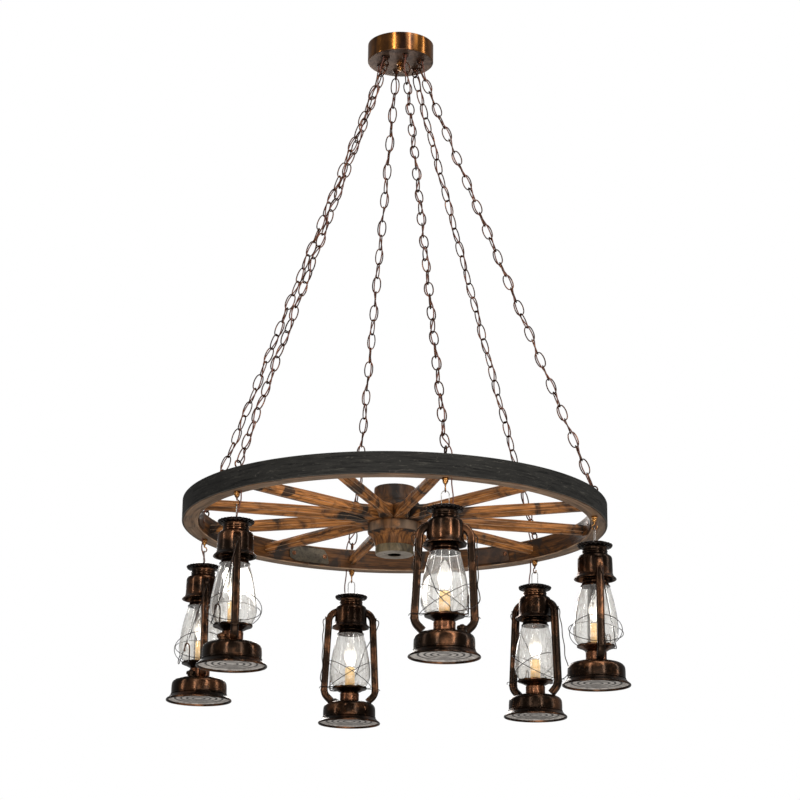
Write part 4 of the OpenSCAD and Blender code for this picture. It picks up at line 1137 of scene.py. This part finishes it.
def tank_line():
    """Profile of the foot and tank, from the foot's hollow up to the burner's seat."""
    r, foot = settings("lantern").tank / 2 / MM, settings("lantern").foot / 2 / MM
    return [(foot - 5.2, 5.8), (foot - 4.4, 3.4), (foot - 3.6, 1.4), (foot - 2.2, 0.2), (foot - 0.8, 0.5),
            (foot, 1.9), (foot, 3.4), (foot - 0.8, 4.8), (foot - 2.6, 6.4), (foot - 5.4, 8.4),
            (foot - 8.2, 11.0), (foot - 10.2, 13.8), (r + 1.8, 15.0), (r + 0.2, 15.4), (r - 0.6, 16.2),
            (r + 0.9, 17.0), (r + 1.3, 18.0), (r + 0.9, 19.0), (r - 0.5, 19.8), (r - 0.1, 21.0), (r, 24),
            (r - 0.1, 33), (r - 0.6, 41.5), (r - 1.4, 45.4), (r - 3.4, 49.0), (r - 6.8, 52.4),
            (r - 12, 55.2), (r - 19, 57.0), (r - 27, 58.6), (r - 36, 60.2), (29.4, 61.8), (27.4, 62.4),
            (26.3, 62.0), (24, 61.2), (10, 61.0)]


def lantern_frames():
    width = settings("lantern").tube / MM
    top, foot_z = HOOD_Z + 45, 92
    bend_x, foot_x, bend_r = 59.5, 68.5, 28
    lean = degrees(atan2(foot_x - bend_x, top - bend_r - foot_z))
    fall = (top - bend_r - foot_z) / cos(radians(lean))
    section = rounded_section(width - 0.6, width - 0.6, width * 0.30, 4)
    route = [("ahead", 1.5), ("turn", bend_r, 90 - lean), ("ahead", fall), ("turn", bend_r, 48),
             ("ahead", 15)]
    plate_rings = [(0, 7.9)]
    for ring in (15, 30, 45, 60):
        plate_rings += [(ring - 3.4, 7.9), (ring - 1.7, 7.1), (ring, 6.6), (ring + 1.7, 7.1),
                        (ring + 3.4, 7.9)]
    plate_rings += [(70, 7.9), (75, 7.2), (77.6, 5.4)]
    filler = turned_about_z(FILLER_TURN) @ Matrix.Translation((FILLER_X * MM, 0, 0))
    cap_line = [(0, 61.3), (11.6, 61.3), (12, 62.2), (12, 67.0), (11.2, 68.6), (9.4, 69.6), (6.2, 70),
                (5.2, 70.8), (4.9, 72.2), (3.4, 72.8), (0, 72.8)]
    for k in range(CHAINS):
        parts = [(spun(walled(eased(tank_line(), 0.8, 2), 0.9), 120), None, 0)]
        for turn in (0, 180):
            tube = swept(section, (bend_x - bend_r - 1.5, 0, top), route)
            parts.append((tube, turned_about_z(turn), 0))
            collar = swept(rounded_section(width + 0.5, width + 0.5, 6, 3), (0, 0, 0), [("ahead", 3.6)])
            foot_at = Vector((bend_x + sin(radians(lean)) * fall, 0, foot_z)) * MM
            at = Matrix.Translation(foot_at) @ Matrix.Rotation(radians(90 - lean), 4, "Y")
            parts.append((collar, turned_about_z(turn) @ at, 0))
            ear_x = bend_x + 7.8
            ear = swept(rounded_section(13, 13, 5, 3), (ear_x, 0, BAIL_Z), [("ahead", 1.4)])
            parts.append((ear, turned_about_z(turn), 0))
            rivet = disc(2.6, 0, 1.6, 0.8, 16)
            spot = Vector((ear_x + 1.2, 3.2, BAIL_Z + 5)) * MM
            spot = Matrix.Translation(spot) @ Matrix.Rotation(pi / 2, 4, "Y")
            parts.append((rivet, turned_about_z(turn) @ spot, 0))
        neck = spun([(8.4, 55), (8.9, 61), (8.2, 61), (7.8, 55)], 32)
        parts.append((neck, filler, 0))
        plate = spun(walled(plate_rings, 0.7), 96)
        # marks the embossed rings for painted shade in the plate's finish
        marked(plate, "soot_and_shade", lambda co: 1.0 if 1.5 < co.xy.length / MM < 62 and co.z / MM < 7.2 else 0.0)
        parts.append((plate, None, 1))
        hung(k, "tank_and_tubes", joined(parts), ["lantern", "under_plate"], "frame")
        cap = spun(eased(cap_line, 0.4), 32, closed=False)
        for v in cap.verts:
            if v.co.xy.length / MM > 10.8 and 62 < v.co.z / MM < 69:
                v.co.xy *= 1 + 0.02 * cos(16 * atan2(v.co.y, v.co.x))
        hung(k, "fuel_cap", placed(cap, filler), "lantern", "frame")


def lantern_hoods():
    side = [(41, 11), (44, 6.5), (47.4, 2.2), (50.6, 0.4), (51.8, 0.8), (52, 2), (50.6, 4.2), (47.2, 7.4),
            (44.4, 10.8), (43.9, 12.4), (44.2, 13.4), (43.2, 14.6), (43, 17), (42.7, 34), (42.2, 50),
            (41.8, 53.6), (40, 57.4), (36.4, 60.2), (32.6, 61.6), (31.2, 63.4), (31, 66.4), (29.4, 68),
            (31.2, 69.6), (31, 71.6), (29.8, 73.4), (30.2, 76.6), (32.2, 79)]
    side = [(x, HOOD_Z + up) for x, up in side]
    skirt = [(32, -7.6), (35.6, -6.6), (39.4, -5.6), (42.6, -4.2), (43.9, -2.4), (43.6, -0.6),
             (41.4, 0.8), (38.6, 1.9), (35.6, 3.2), (31, 4.9), (25, 6.4), (18, 7.6), (9, 8.5), (0, 8.9)]
    skirt = [(x, CAP_Z + up) for x, up in skirt]
    hanger_z = PIVOT_Z - LANTERN_Z + 1.5 + 1 + SEAT
    for k in range(CHAINS):
        shell = spun(walled(eased(side, 0.7, 2), 0.9), 96)
        limit = 49.4 * MM
        for v in shell.verts:
            beside_tube = v.co.z < (HOOD_Z + 7) * MM and abs(v.co.y) < 10.2 * MM
            if beside_tube and abs(v.co.x) > limit:
                v.co.x = limit if v.co.x > 0 else -limit
        hung(k, "hood_shell", shell, "lantern", "hood")
        cap = spun(walled(eased(skirt, 0.6, 2), 0.9), 144)
        for v in cap.verts:
            reach = v.co.xy.length / MM
            turn = atan2(v.co.y, v.co.x)
            share = min(1.0, max(0.0, (reach - 33) / 9)) * min(1.0, max(0.0, (CAP_Z + 3 - v.co.z / MM) / 2))
            wave = cos(24 * turn)
            v.co.xy *= 1 + 0.018 * share * (wave - 1) * 0.9
            v.co.z += (1.5 * wave - 0.4) * share * MM * (1 if v.co.z / MM < CAP_Z + 1 else 0.6)
        hung(k, "crimped_cap", cap, "cap_black", "hood")
        top = hanger_z - 9
        leg = [(11.5, CAP_Z + 6.2), (9.6, CAP_Z + 7.2), (9, CAP_Z + 9.5), (9, top - 2)]
        loop = [Vector((-x, 0, z)) for x, z in leg] + arc((0, 0, top), 9, 180, 0, 18)
        loop += [Vector((x, 0, z)) for x, z in reversed(leg)]
        hung(k, "hanger_wire", wire(loop, 2), "steel", "hood")


def lantern_burners():
    slots, cuts = 16, 6
    line = [(24.4, 62.4), (25.5, 62.4), (25.5, 68), (25.2, 69), (25.2, 77.5), (25.6, 78.4), (25.5, 81),
            (24.4, 83.2), (22.2, 84.6), (19, BURNER_TOP), (10.2, BURNER_TOP)]
    low, top = BURNER_TOP + 0.4, 151.8
    sleeve_line = [(11.9, low), (13, low), (13, top - 1.2), (12.6, top), (11.9, top)]
    socket_line = [(7, 57), (8, 57), (8, 154), (7.3, 155.6), (7, 155.6)]

    def in_slot(face):
        at = face.calc_center_median()
        step = int((atan2(at.y, at.x) + 2 * pi) / (2 * pi) * slots * cuts) % cuts
        return 69.2 * MM < at.z < 77.2 * MM and at.xy.length > 24.9 * MM and step in (0, 1)

    for k in range(CHAINS):
        cone = spun(walled(eased(line, 0.5, 2), 0.8), slots * cuts)
        cut = [f for f in cone.faces if in_slot(f)]
        sunk = bmesh.ops.extrude_face_region(cone, geom=cut)["geom"]
        for v in sunk:
            if isinstance(v, bmesh.types.BMVert):
                v.co.xy *= 1 - 1.4 / 25.2
        bmesh.ops.delete(cone, geom=cut, context="FACES")
        hung(k, "burner_cone", cone, "burner", "burner")
        sleeve = spun(eased(sleeve_line, 0.4, 2, True), 40)
        socket = spun(eased(socket_line, 0.3, 2, True), 32)
        both = joined([(sleeve, None, 0), (socket, None, 1)])
        hung(k, "candle_sleeve", both, ["candle", "steel"], "burner")


def lantern_bulbs():
    line = [(0, 136), (4, 136), (6.7, 139), (6.7, 156), (8, 158.4), (10, 162), (12.6, 167.4), (15, 173.4),
            (16.8, 179), (17.5, 184.4), (17.1, 190.4), (15.6, 197), (13.2, 203), (10.4, 209), (7.4, 215),
            (4.6, 220), (2.2, 223.6), (0.8, 225.4), (0, 225.8)]
    for k in range(CHAINS):
        bm = spun(eased(line, 1.2, 2), 40, closed=False)
        hung(k, "candle_bulb", bm, "bulb", "bulb")


def globe_radius(z):
    """Radius of the pear-shaped globe at a height."""
    t = (z - GLOBE_LOW) / (GLOBE_TOP - GLOBE_LOW)
    wide = settings("lantern").globe / 2 / MM
    if t < 0.27:
        return wide - (wide - 37) * (1 - t / 0.27) ** 2.4
    return wide - (wide - 35) * ((t - 0.27) / 0.73) ** 1.6


def lantern_globes():
    rows = 40
    heights = [GLOBE_LOW + 0.4 + (GLOBE_TOP - GLOBE_LOW - 0.8) * i / rows for i in range(rows + 1)]
    outside = [(globe_radius(z) - 0.05, z) for z in heights]
    inside = [(globe_radius(z) - 1.9, z) for z in heights]
    for k in range(CHAINS):
        bm = spun(eased(outside + inside[::-1], 0.5, 2, True), 96)
        hung(k, "glass_globe", bm, "glass", "globe", f"globe_{k + 1}")


def lantern_carriers():
    rim = PLATE_RIM
    plate_line = [(16.2, 85.4), (24, 85.4), (27.6, 86.4), (33.4, 89.4), (39, 92.2), (43, 93.4),
                  (45.6, 94.4), (46.4, 96), (46.4, 98.6)]
    crown_line = [(36.4, 0.1), (36.4, 1.8), (34.6, 3.4), (33.2, 5.4), (32.2, 9), (32.6, 11), (31.6, 12.4),
                  (31, 15.8)]
    crown_line = [(x, GLOBE_TOP + up) for x, up in crown_line]
    half = settings("lantern").tube / MM / 2
    guide = [(rim - 5, 0, 97.9), (rim - 3.6, half + 1, 98.1), (rim - 1, half + 3.6, GUIDE_Z),
             (rim + 4, half + 4.2, GUIDE_Z), (rim + 22, half + 4.1, GUIDE_Z),
             (rim + 31, half + 3.4, 98.0), (rim + 34, half + 1.5, 96.6), (rim + 35.4, half - 1, 93.6)]
    x, y, base = 50, -34, 95
    strip = [(x - 21, y, base), (x - 6, y, base - 0.4), (x, y, base + 1.5), (x + 1, y, base + 8),
             (x, y, base + 30), (x - 0.4, y - 1.6, base + 38), (x, y - 6, base + 42),
             (x + 0.4, y - 10.4, base + 39), (x, y - 12, base + 31), (x + 0.4, y - 12, base + 21)]
    tilt = radians(HOOP_TILT)
    for k in range(CHAINS):
        dish = spun(walled(eased(plate_line, 0.8, 2), 0.9), 96)
        for v in dish.verts:
            reach = v.co.xy.length / MM
            if reach > 44:
                v.co.z += 0.7 * cos(12 * atan2(v.co.y, v.co.x)) * (reach - 44) / 2.4 * MM
        shelf = spun(walled([(34.4, 95.4), (38, 95.3), (44.2, 95.6), (45.2, 97)], 0.6), 72)
        crown = spun(walled(eased(crown_line, 0.5, 2), 0.8), 72)
        parts = [(dish, None, 0), (shelf, None, 0), (crown, None, 0)]
        for turn in (0, 180):
            parts.append((wire(guide, 1.8, smooth=5), turned_about_z(turn), 1))
        for radius, turn in ((64, 0), (66.4, 180)):
            opening = degrees(asin((half + 1.6) / radius))
            rise = radius * sin(tilt) * cos(asin((half + 4) / radius))
            height = GUIDE_Z + 1 + 0.9 / cos(tilt) + SEAT + rise
            ring = arc((0, 0, 0), radius, 180 + opening, 540 - opening, 80, "XY")
            place = Matrix.Translation((0, 0, height * MM)) @ Matrix.Rotation(tilt, 4, "Y")
            parts.append((wire(ring, 1.8, sides=2), turned_about_z(turn) @ place, 1))
        parts.append((wire(strip, 3.4, smooth=4), None, 0))
        hung(k, "globe_plate", joined(parts), ["lantern", "bail"], "carrier", f"globe_{k + 1}")


def lantern_bails():
    drop, rest = BAIL_Z - PLATE_RIM_Z + 2, PLATE_RIM + 1.3 + SEAT
    lean = atan2(rest, drop)
    reach = sqrt(drop * drop + rest * rest)
    pin = 61
    leg = pin + 14.5
    bow = [(-pin + 1, 0), (-leg + 3, 0), (-leg, 3), (-leg + 3, 20), (-leg + 14, 44), (-leg + 28, 70),
           (-leg + 39, 96), (-leg + 47, 122), (-leg + 56, 146), (-leg + 70, 166), (-leg + 84, 181),
           (10, reach - 1), (26, reach - 1), (46, reach - 6), (leg - 10, reach - 14),
           (leg + 0.2, reach - 28), (leg + 0.4, reach - 44), (leg - 3.4, reach - 64),
           (leg - 1.0, reach - 92), (leg - 2.6, reach - 120), (leg - 0.6, 44), (leg - 3.0, 22),
           (leg - 0.6, 5), (leg - 3, 0), (pin - 1, 0)]

    def hanging(x, d):
        """A point d down the bail; its lower part stands out further, clear of the globe plate."""
        clear = 3.4 * min(1, max(0, (d - 130) / 35))
        return Vector((x, -d * sin(lean) - clear, BAIL_Z - d * cos(lean)))

    for k in range(CHAINS):
        flip = -1 if k in (2, 4) else 1
        points = [hanging(flip * x, d) for x, d in bow]
        hung(k, "bail_handle", wire(points, 2.5, smooth=5), "bail", "bail", f"bail_{k + 1}")


# ------------------------------------------------------------------ stage


def stage():
    scene = bpy.context.scene
    pick = settings("stage")
    a = pick.azimuth
    toward = Vector((sin(a) * cos(pick.tilt), -cos(a) * cos(pick.tilt), -sin(pick.tilt)))
    right = Vector((cos(a), sin(a), 0))
    aim = right * 0.00952 + Vector((0, 0, -0.9926))
    place = aim + toward * pick.distance
    up = toward.cross(right)
    across = cos(pick.roll) * right + sin(pick.roll) * up
    upward = cos(pick.roll) * up - sin(pick.roll) * right
    camera = bpy.data.cameras.new("photo_camera")
    camera.lens = pick.focal
    camera.sensor_width = 36
    camera.clip_end = 100
    holder = bpy.data.objects.new("photo_camera", camera)
    turn = Matrix((across, upward, toward)).transposed().to_4x4()
    holder.matrix_world = Matrix.Translation(place) @ turn
    scene.collection.objects.link(holder)
    scene.camera = holder

    floor = bmesh.new()
    bmesh.ops.create_grid(floor, x_segments=8, y_segments=8, size=20)
    bmesh.ops.translate(floor, verts=floor.verts, vec=(0, 0, pick.floor_z))
    mesh = bpy.data.meshes.new("studio_floor")
    floor.to_mesh(mesh)
    floor.free()
    ground = bpy.data.objects.new("studio_floor", mesh)
    scene.collection.objects.link(ground)
    paper = Finish("studio_paper")
    speck = paper.noise(paper.where(), 3, 3)
    paper.set(Base_Color=paper.blend(speck, (0.80, 0.80, 0.79), (0.86, 0.86, 0.85)), Roughness=0.85)
    mesh.materials.append(paper.material)

    world = bpy.data.worlds.new("studio_white")
    scene.world = world
    world.use_nodes = True
    tree = world.node_tree
    back = tree.nodes["Background"]
    path = tree.nodes.new("ShaderNodeLightPath")
    seen = tree.nodes.new("ShaderNodeMath")
    seen.operation = "MAXIMUM"
    tree.links.new(path.outputs["Is Camera Ray"], seen.inputs[0])
    tree.links.new(path.outputs["Is Transmission Ray"], seen.inputs[1])
    level = tree.nodes.new("ShaderNodeMapRange")
    level.inputs["To Min"].default_value = 0.22
    level.inputs["To Max"].default_value = 1.0
    tree.links.new(seen.outputs[0], level.inputs["Value"])
    tree.links.new(level.outputs[0], back.inputs["Strength"])
    back.inputs["Color"].default_value = (1, 1, 1, 1)

    for name, at, aim, size, power, tint in (
            ("strip_right", (0.95, -2.9, 0.0), (0, 0, -0.6), (0.22, 3.6), 46, (1.0, 0.97, 0.93)),
            ("strip_left", (-1.75, -2.5, 0.0), (0, 0, -0.6), (0.20, 3.6), 34, (1.0, 0.97, 0.93)),
            ("strip_side", (2.9, -0.9, -0.2), (0, 0, -0.9), (0.25, 3.0), 20, (1.0, 0.98, 0.95)),
            ("strip_edge", (-3.0, -0.2, -0.4), (0, 0, -0.9), (0.22, 2.6), 12, (1.0, 0.98, 0.95)),
            ("soft_front", (-0.5, -4.2, -1.6), (0, 0, -1.5), (2.4, 1.8), 20, (1.0, 0.97, 0.93)),
            ("strip_far", (0.1, 2.9, -0.3), (0, 0.4, -1.4), (1.2, 1.2), 24, (1.0, 0.97, 0.93)),
            ("soft_over", (0.8, -1.6, 1.6), (0, 0, -1.3), (1.8, 1.8), 26, (1.0, 0.99, 0.97)),
            ("floor_bounce", (-0.4, -1.6, -2.95), (0, 0, -1.3), (1.6, 1.6), 22, (1.0, 0.97, 0.93))):
        lamp = bpy.data.lights.new(name, "AREA")
        lamp.shape = "RECTANGLE"
        lamp.size, lamp.size_y = size
        lamp.energy = power
        lamp.color = tint
        holder = bpy.data.objects.new(name, lamp)
        holder.location = at
        holder.rotation_euler = (Vector(aim) - Vector(at)).to_track_quat("-Z", "Y").to_euler()
        holder.visible_camera = False
        scene.collection.objects.link(holder)
    scene.view_settings.view_transform = "Standard"


# ------------------------------------------------------------------ operators and panel


class CHANDELIER_OT_stage(bpy.types.Operator):
    """Sets the camera, lamps, floor and white surroundings."""

    bl_idname = "chandelier.stage"
    bl_label = "Stage"

    def execute(self, context):
        stage()
        return {"FINISHED"}


class CHANDELIER_OT_lamp_cords(bpy.types.Operator):
    """Winds the six lamp cords through their chains."""

    bl_idname = "chandelier.lamp_cords"
    bl_label = "Lamp cords"

    def execute(self, context):
        lamp_cords()
        return {"FINISHED"}


class CHANDELIER_OT_drop_cords(bpy.types.Operator):
    """Bends each cord from the rim into its lantern."""

    bl_idname = "chandelier.drop_cords"
    bl_label = "Drop cords"

    def execute(self, context):
        drop_cords()
        return {"FINISHED"}


class CHANDELIER_OT_canopy(bpy.types.Operator):
    """Turns the copper canopy and its finial."""

    bl_idname = "chandelier.canopy"
    bl_label = "Canopy"

    def execute(self, context):
        canopy()
        return {"FINISHED"}


class CHANDELIER_OT_canopy_loops(bpy.types.Operator):
    """Makes the collars and rings that carry the chains."""

    bl_idname = "chandelier.canopy_loops"
    bl_label = "Canopy loops"

    def execute(self, context):
        canopy_loops()
        return {"FINISHED"}


class CHANDELIER_OT_ceiling_bar(bpy.types.Operator):
    """Gives the hidden ceiling bar its zinc finish."""

    bl_idname = "chandelier.ceiling_bar"
    bl_label = "Ceiling bar"

    def execute(self, context):
        ceiling_bar()
        return {"FINISHED"}


class CHANDELIER_OT_chains(bpy.types.Operator):
    """Makes the six chains link by link."""

    bl_idname = "chandelier.chains"
    bl_label = "Chains"

    def execute(self, context):
        chains()
        return {"FINISHED"}


class CHANDELIER_OT_tyre(bpy.types.Operator):
    """Rolls the iron tyre."""

    bl_idname = "chandelier.tyre"
    bl_label = "Tyre"

    def execute(self, context):
        tyre()
        return {"FINISHED"}


class CHANDELIER_OT_felloes(bpy.types.Operator):
    """Bends the six wooden felloes."""

    bl_idname = "chandelier.felloes"
    bl_label = "Felloes"

    def execute(self, context):
        felloes()
        return {"FINISHED"}


class CHANDELIER_OT_spokes(bpy.types.Operator):
    """Shapes the twelve spokes."""

    bl_idname = "chandelier.spokes"
    bl_label = "Spokes"

    def execute(self, context):
        spokes()
        return {"FINISHED"}


class CHANDELIER_OT_hub(bpy.types.Operator):
    """Turns the hub and its band."""

    bl_idname = "chandelier.hub"
    bl_label = "Hub"

    def execute(self, context):
        hub()
        return {"FINISHED"}


class CHANDELIER_OT_joint_plates(bpy.types.Operator):
    """Fits the plates over the felloe joints."""

    bl_idname = "chandelier.joint_plates"
    bl_label = "Joint plates"

    def execute(self, context):
        joint_plates()
        return {"FINISHED"}


class CHANDELIER_OT_rim_hooks(bpy.types.Operator):
    """Makes the eye bolts, ferrules and hooks."""

    bl_idname = "chandelier.rim_hooks"
    bl_label = "Rim hooks"

    def execute(self, context):
        rim_hooks()
        return {"FINISHED"}


class CHANDELIER_OT_lantern_frames(bpy.types.Operator):
    """Makes each tank with its side tubes and fuel cap."""

    bl_idname = "chandelier.lantern_frames"
    bl_label = "Lantern frames"

    def execute(self, context):
        lantern_frames()
        return {"FINISHED"}


class CHANDELIER_OT_lantern_hoods(bpy.types.Operator):
    """Makes each hood, crimped cap and hanger."""

    bl_idname = "chandelier.lantern_hoods"
    bl_label = "Lantern hoods"

    def execute(self, context):
        lantern_hoods()
        return {"FINISHED"}


class CHANDELIER_OT_lantern_burners(bpy.types.Operator):
    """Makes each burner, candle sleeve and socket."""

    bl_idname = "chandelier.lantern_burners"
    bl_label = "Burners"

    def execute(self, context):
        lantern_burners()
        return {"FINISHED"}


class CHANDELIER_OT_lantern_bulbs(bpy.types.Operator):
    """Makes each lit bulb."""

    bl_idname = "chandelier.lantern_bulbs"
    bl_label = "Bulbs"

    def execute(self, context):
        lantern_bulbs()
        return {"FINISHED"}


class CHANDELIER_OT_lantern_globes(bpy.types.Operator):
    """Blows each glass globe."""

    bl_idname = "chandelier.lantern_globes"
    bl_label = "Globes"

    def execute(self, context):
        lantern_globes()
        return {"FINISHED"}


class CHANDELIER_OT_lantern_carriers(bpy.types.Operator):
    """Makes each globe plate, crown and guard."""

    bl_idname = "chandelier.lantern_carriers"
    bl_label = "Globe plates"

    def execute(self, context):
        lantern_carriers()
        return {"FINISHED"}


class CHANDELIER_OT_lantern_bails(bpy.types.Operator):
    """Bends each bail."""

    bl_idname = "chandelier.lantern_bails"
    bl_label = "Bails"

    def execute(self, context):
        lantern_bails()
        return {"FINISHED"}


OPERATORS = [
    CHANDELIER_OT_stage, CHANDELIER_OT_lamp_cords, CHANDELIER_OT_drop_cords, CHANDELIER_OT_canopy,
    CHANDELIER_OT_canopy_loops, CHANDELIER_OT_ceiling_bar, CHANDELIER_OT_chains, CHANDELIER_OT_tyre,
    CHANDELIER_OT_felloes, CHANDELIER_OT_spokes, CHANDELIER_OT_hub, CHANDELIER_OT_joint_plates,
    CHANDELIER_OT_rim_hooks, CHANDELIER_OT_lantern_frames, CHANDELIER_OT_lantern_hoods,
    CHANDELIER_OT_lantern_burners, CHANDELIER_OT_lantern_bulbs, CHANDELIER_OT_lantern_globes,
    CHANDELIER_OT_lantern_carriers, CHANDELIER_OT_lantern_bails]


class CHANDELIER_PT_panel(bpy.types.Panel):
    """Lists the chandelier's pieces in the sidebar."""

    bl_idname = "CHANDELIER_PT_panel"
    bl_label = "Wagon Wheel Chandelier"
    bl_space_type = "VIEW_3D"
    bl_region_type = "UI"
    bl_category = "Chandelier"

    def draw(self, context):
        for kind in SETTINGS:
            group = settings(kind.__name__.replace("Settings", "").lower())
            box = self.layout.box()
            box.label(text=kind.__name__.replace("Settings", ""))
            for name in kind.__annotations__:
                box.prop(group, name)
        for each in OPERATORS:
            self.layout.operator(each.bl_idname)


def register():
    for kind in SETTINGS:
        bpy.utils.register_class(kind)
        name = "chandelier_" + kind.__name__.replace("Settings", "").lower()
        setattr(bpy.types.Scene, name, PointerProperty(type=kind))
    for each in OPERATORS + [CHANDELIER_PT_panel]:
        bpy.utils.register_class(each)


def unregister():
    for each in reversed(OPERATORS + [CHANDELIER_PT_panel]):
        bpy.utils.unregister_class(each)
    for kind in reversed(SETTINGS):
        delattr(bpy.types.Scene, "chandelier_" + kind.__name__.replace("Settings", "").lower())
        bpy.utils.unregister_class(kind)


def main():
    """Builds everything in order."""
    register()
    for each in OPERATORS:
        space, name = each.bl_idname.split(".")
        getattr(getattr(bpy.ops, space), name)()


if __name__ == "__main__":
    main()
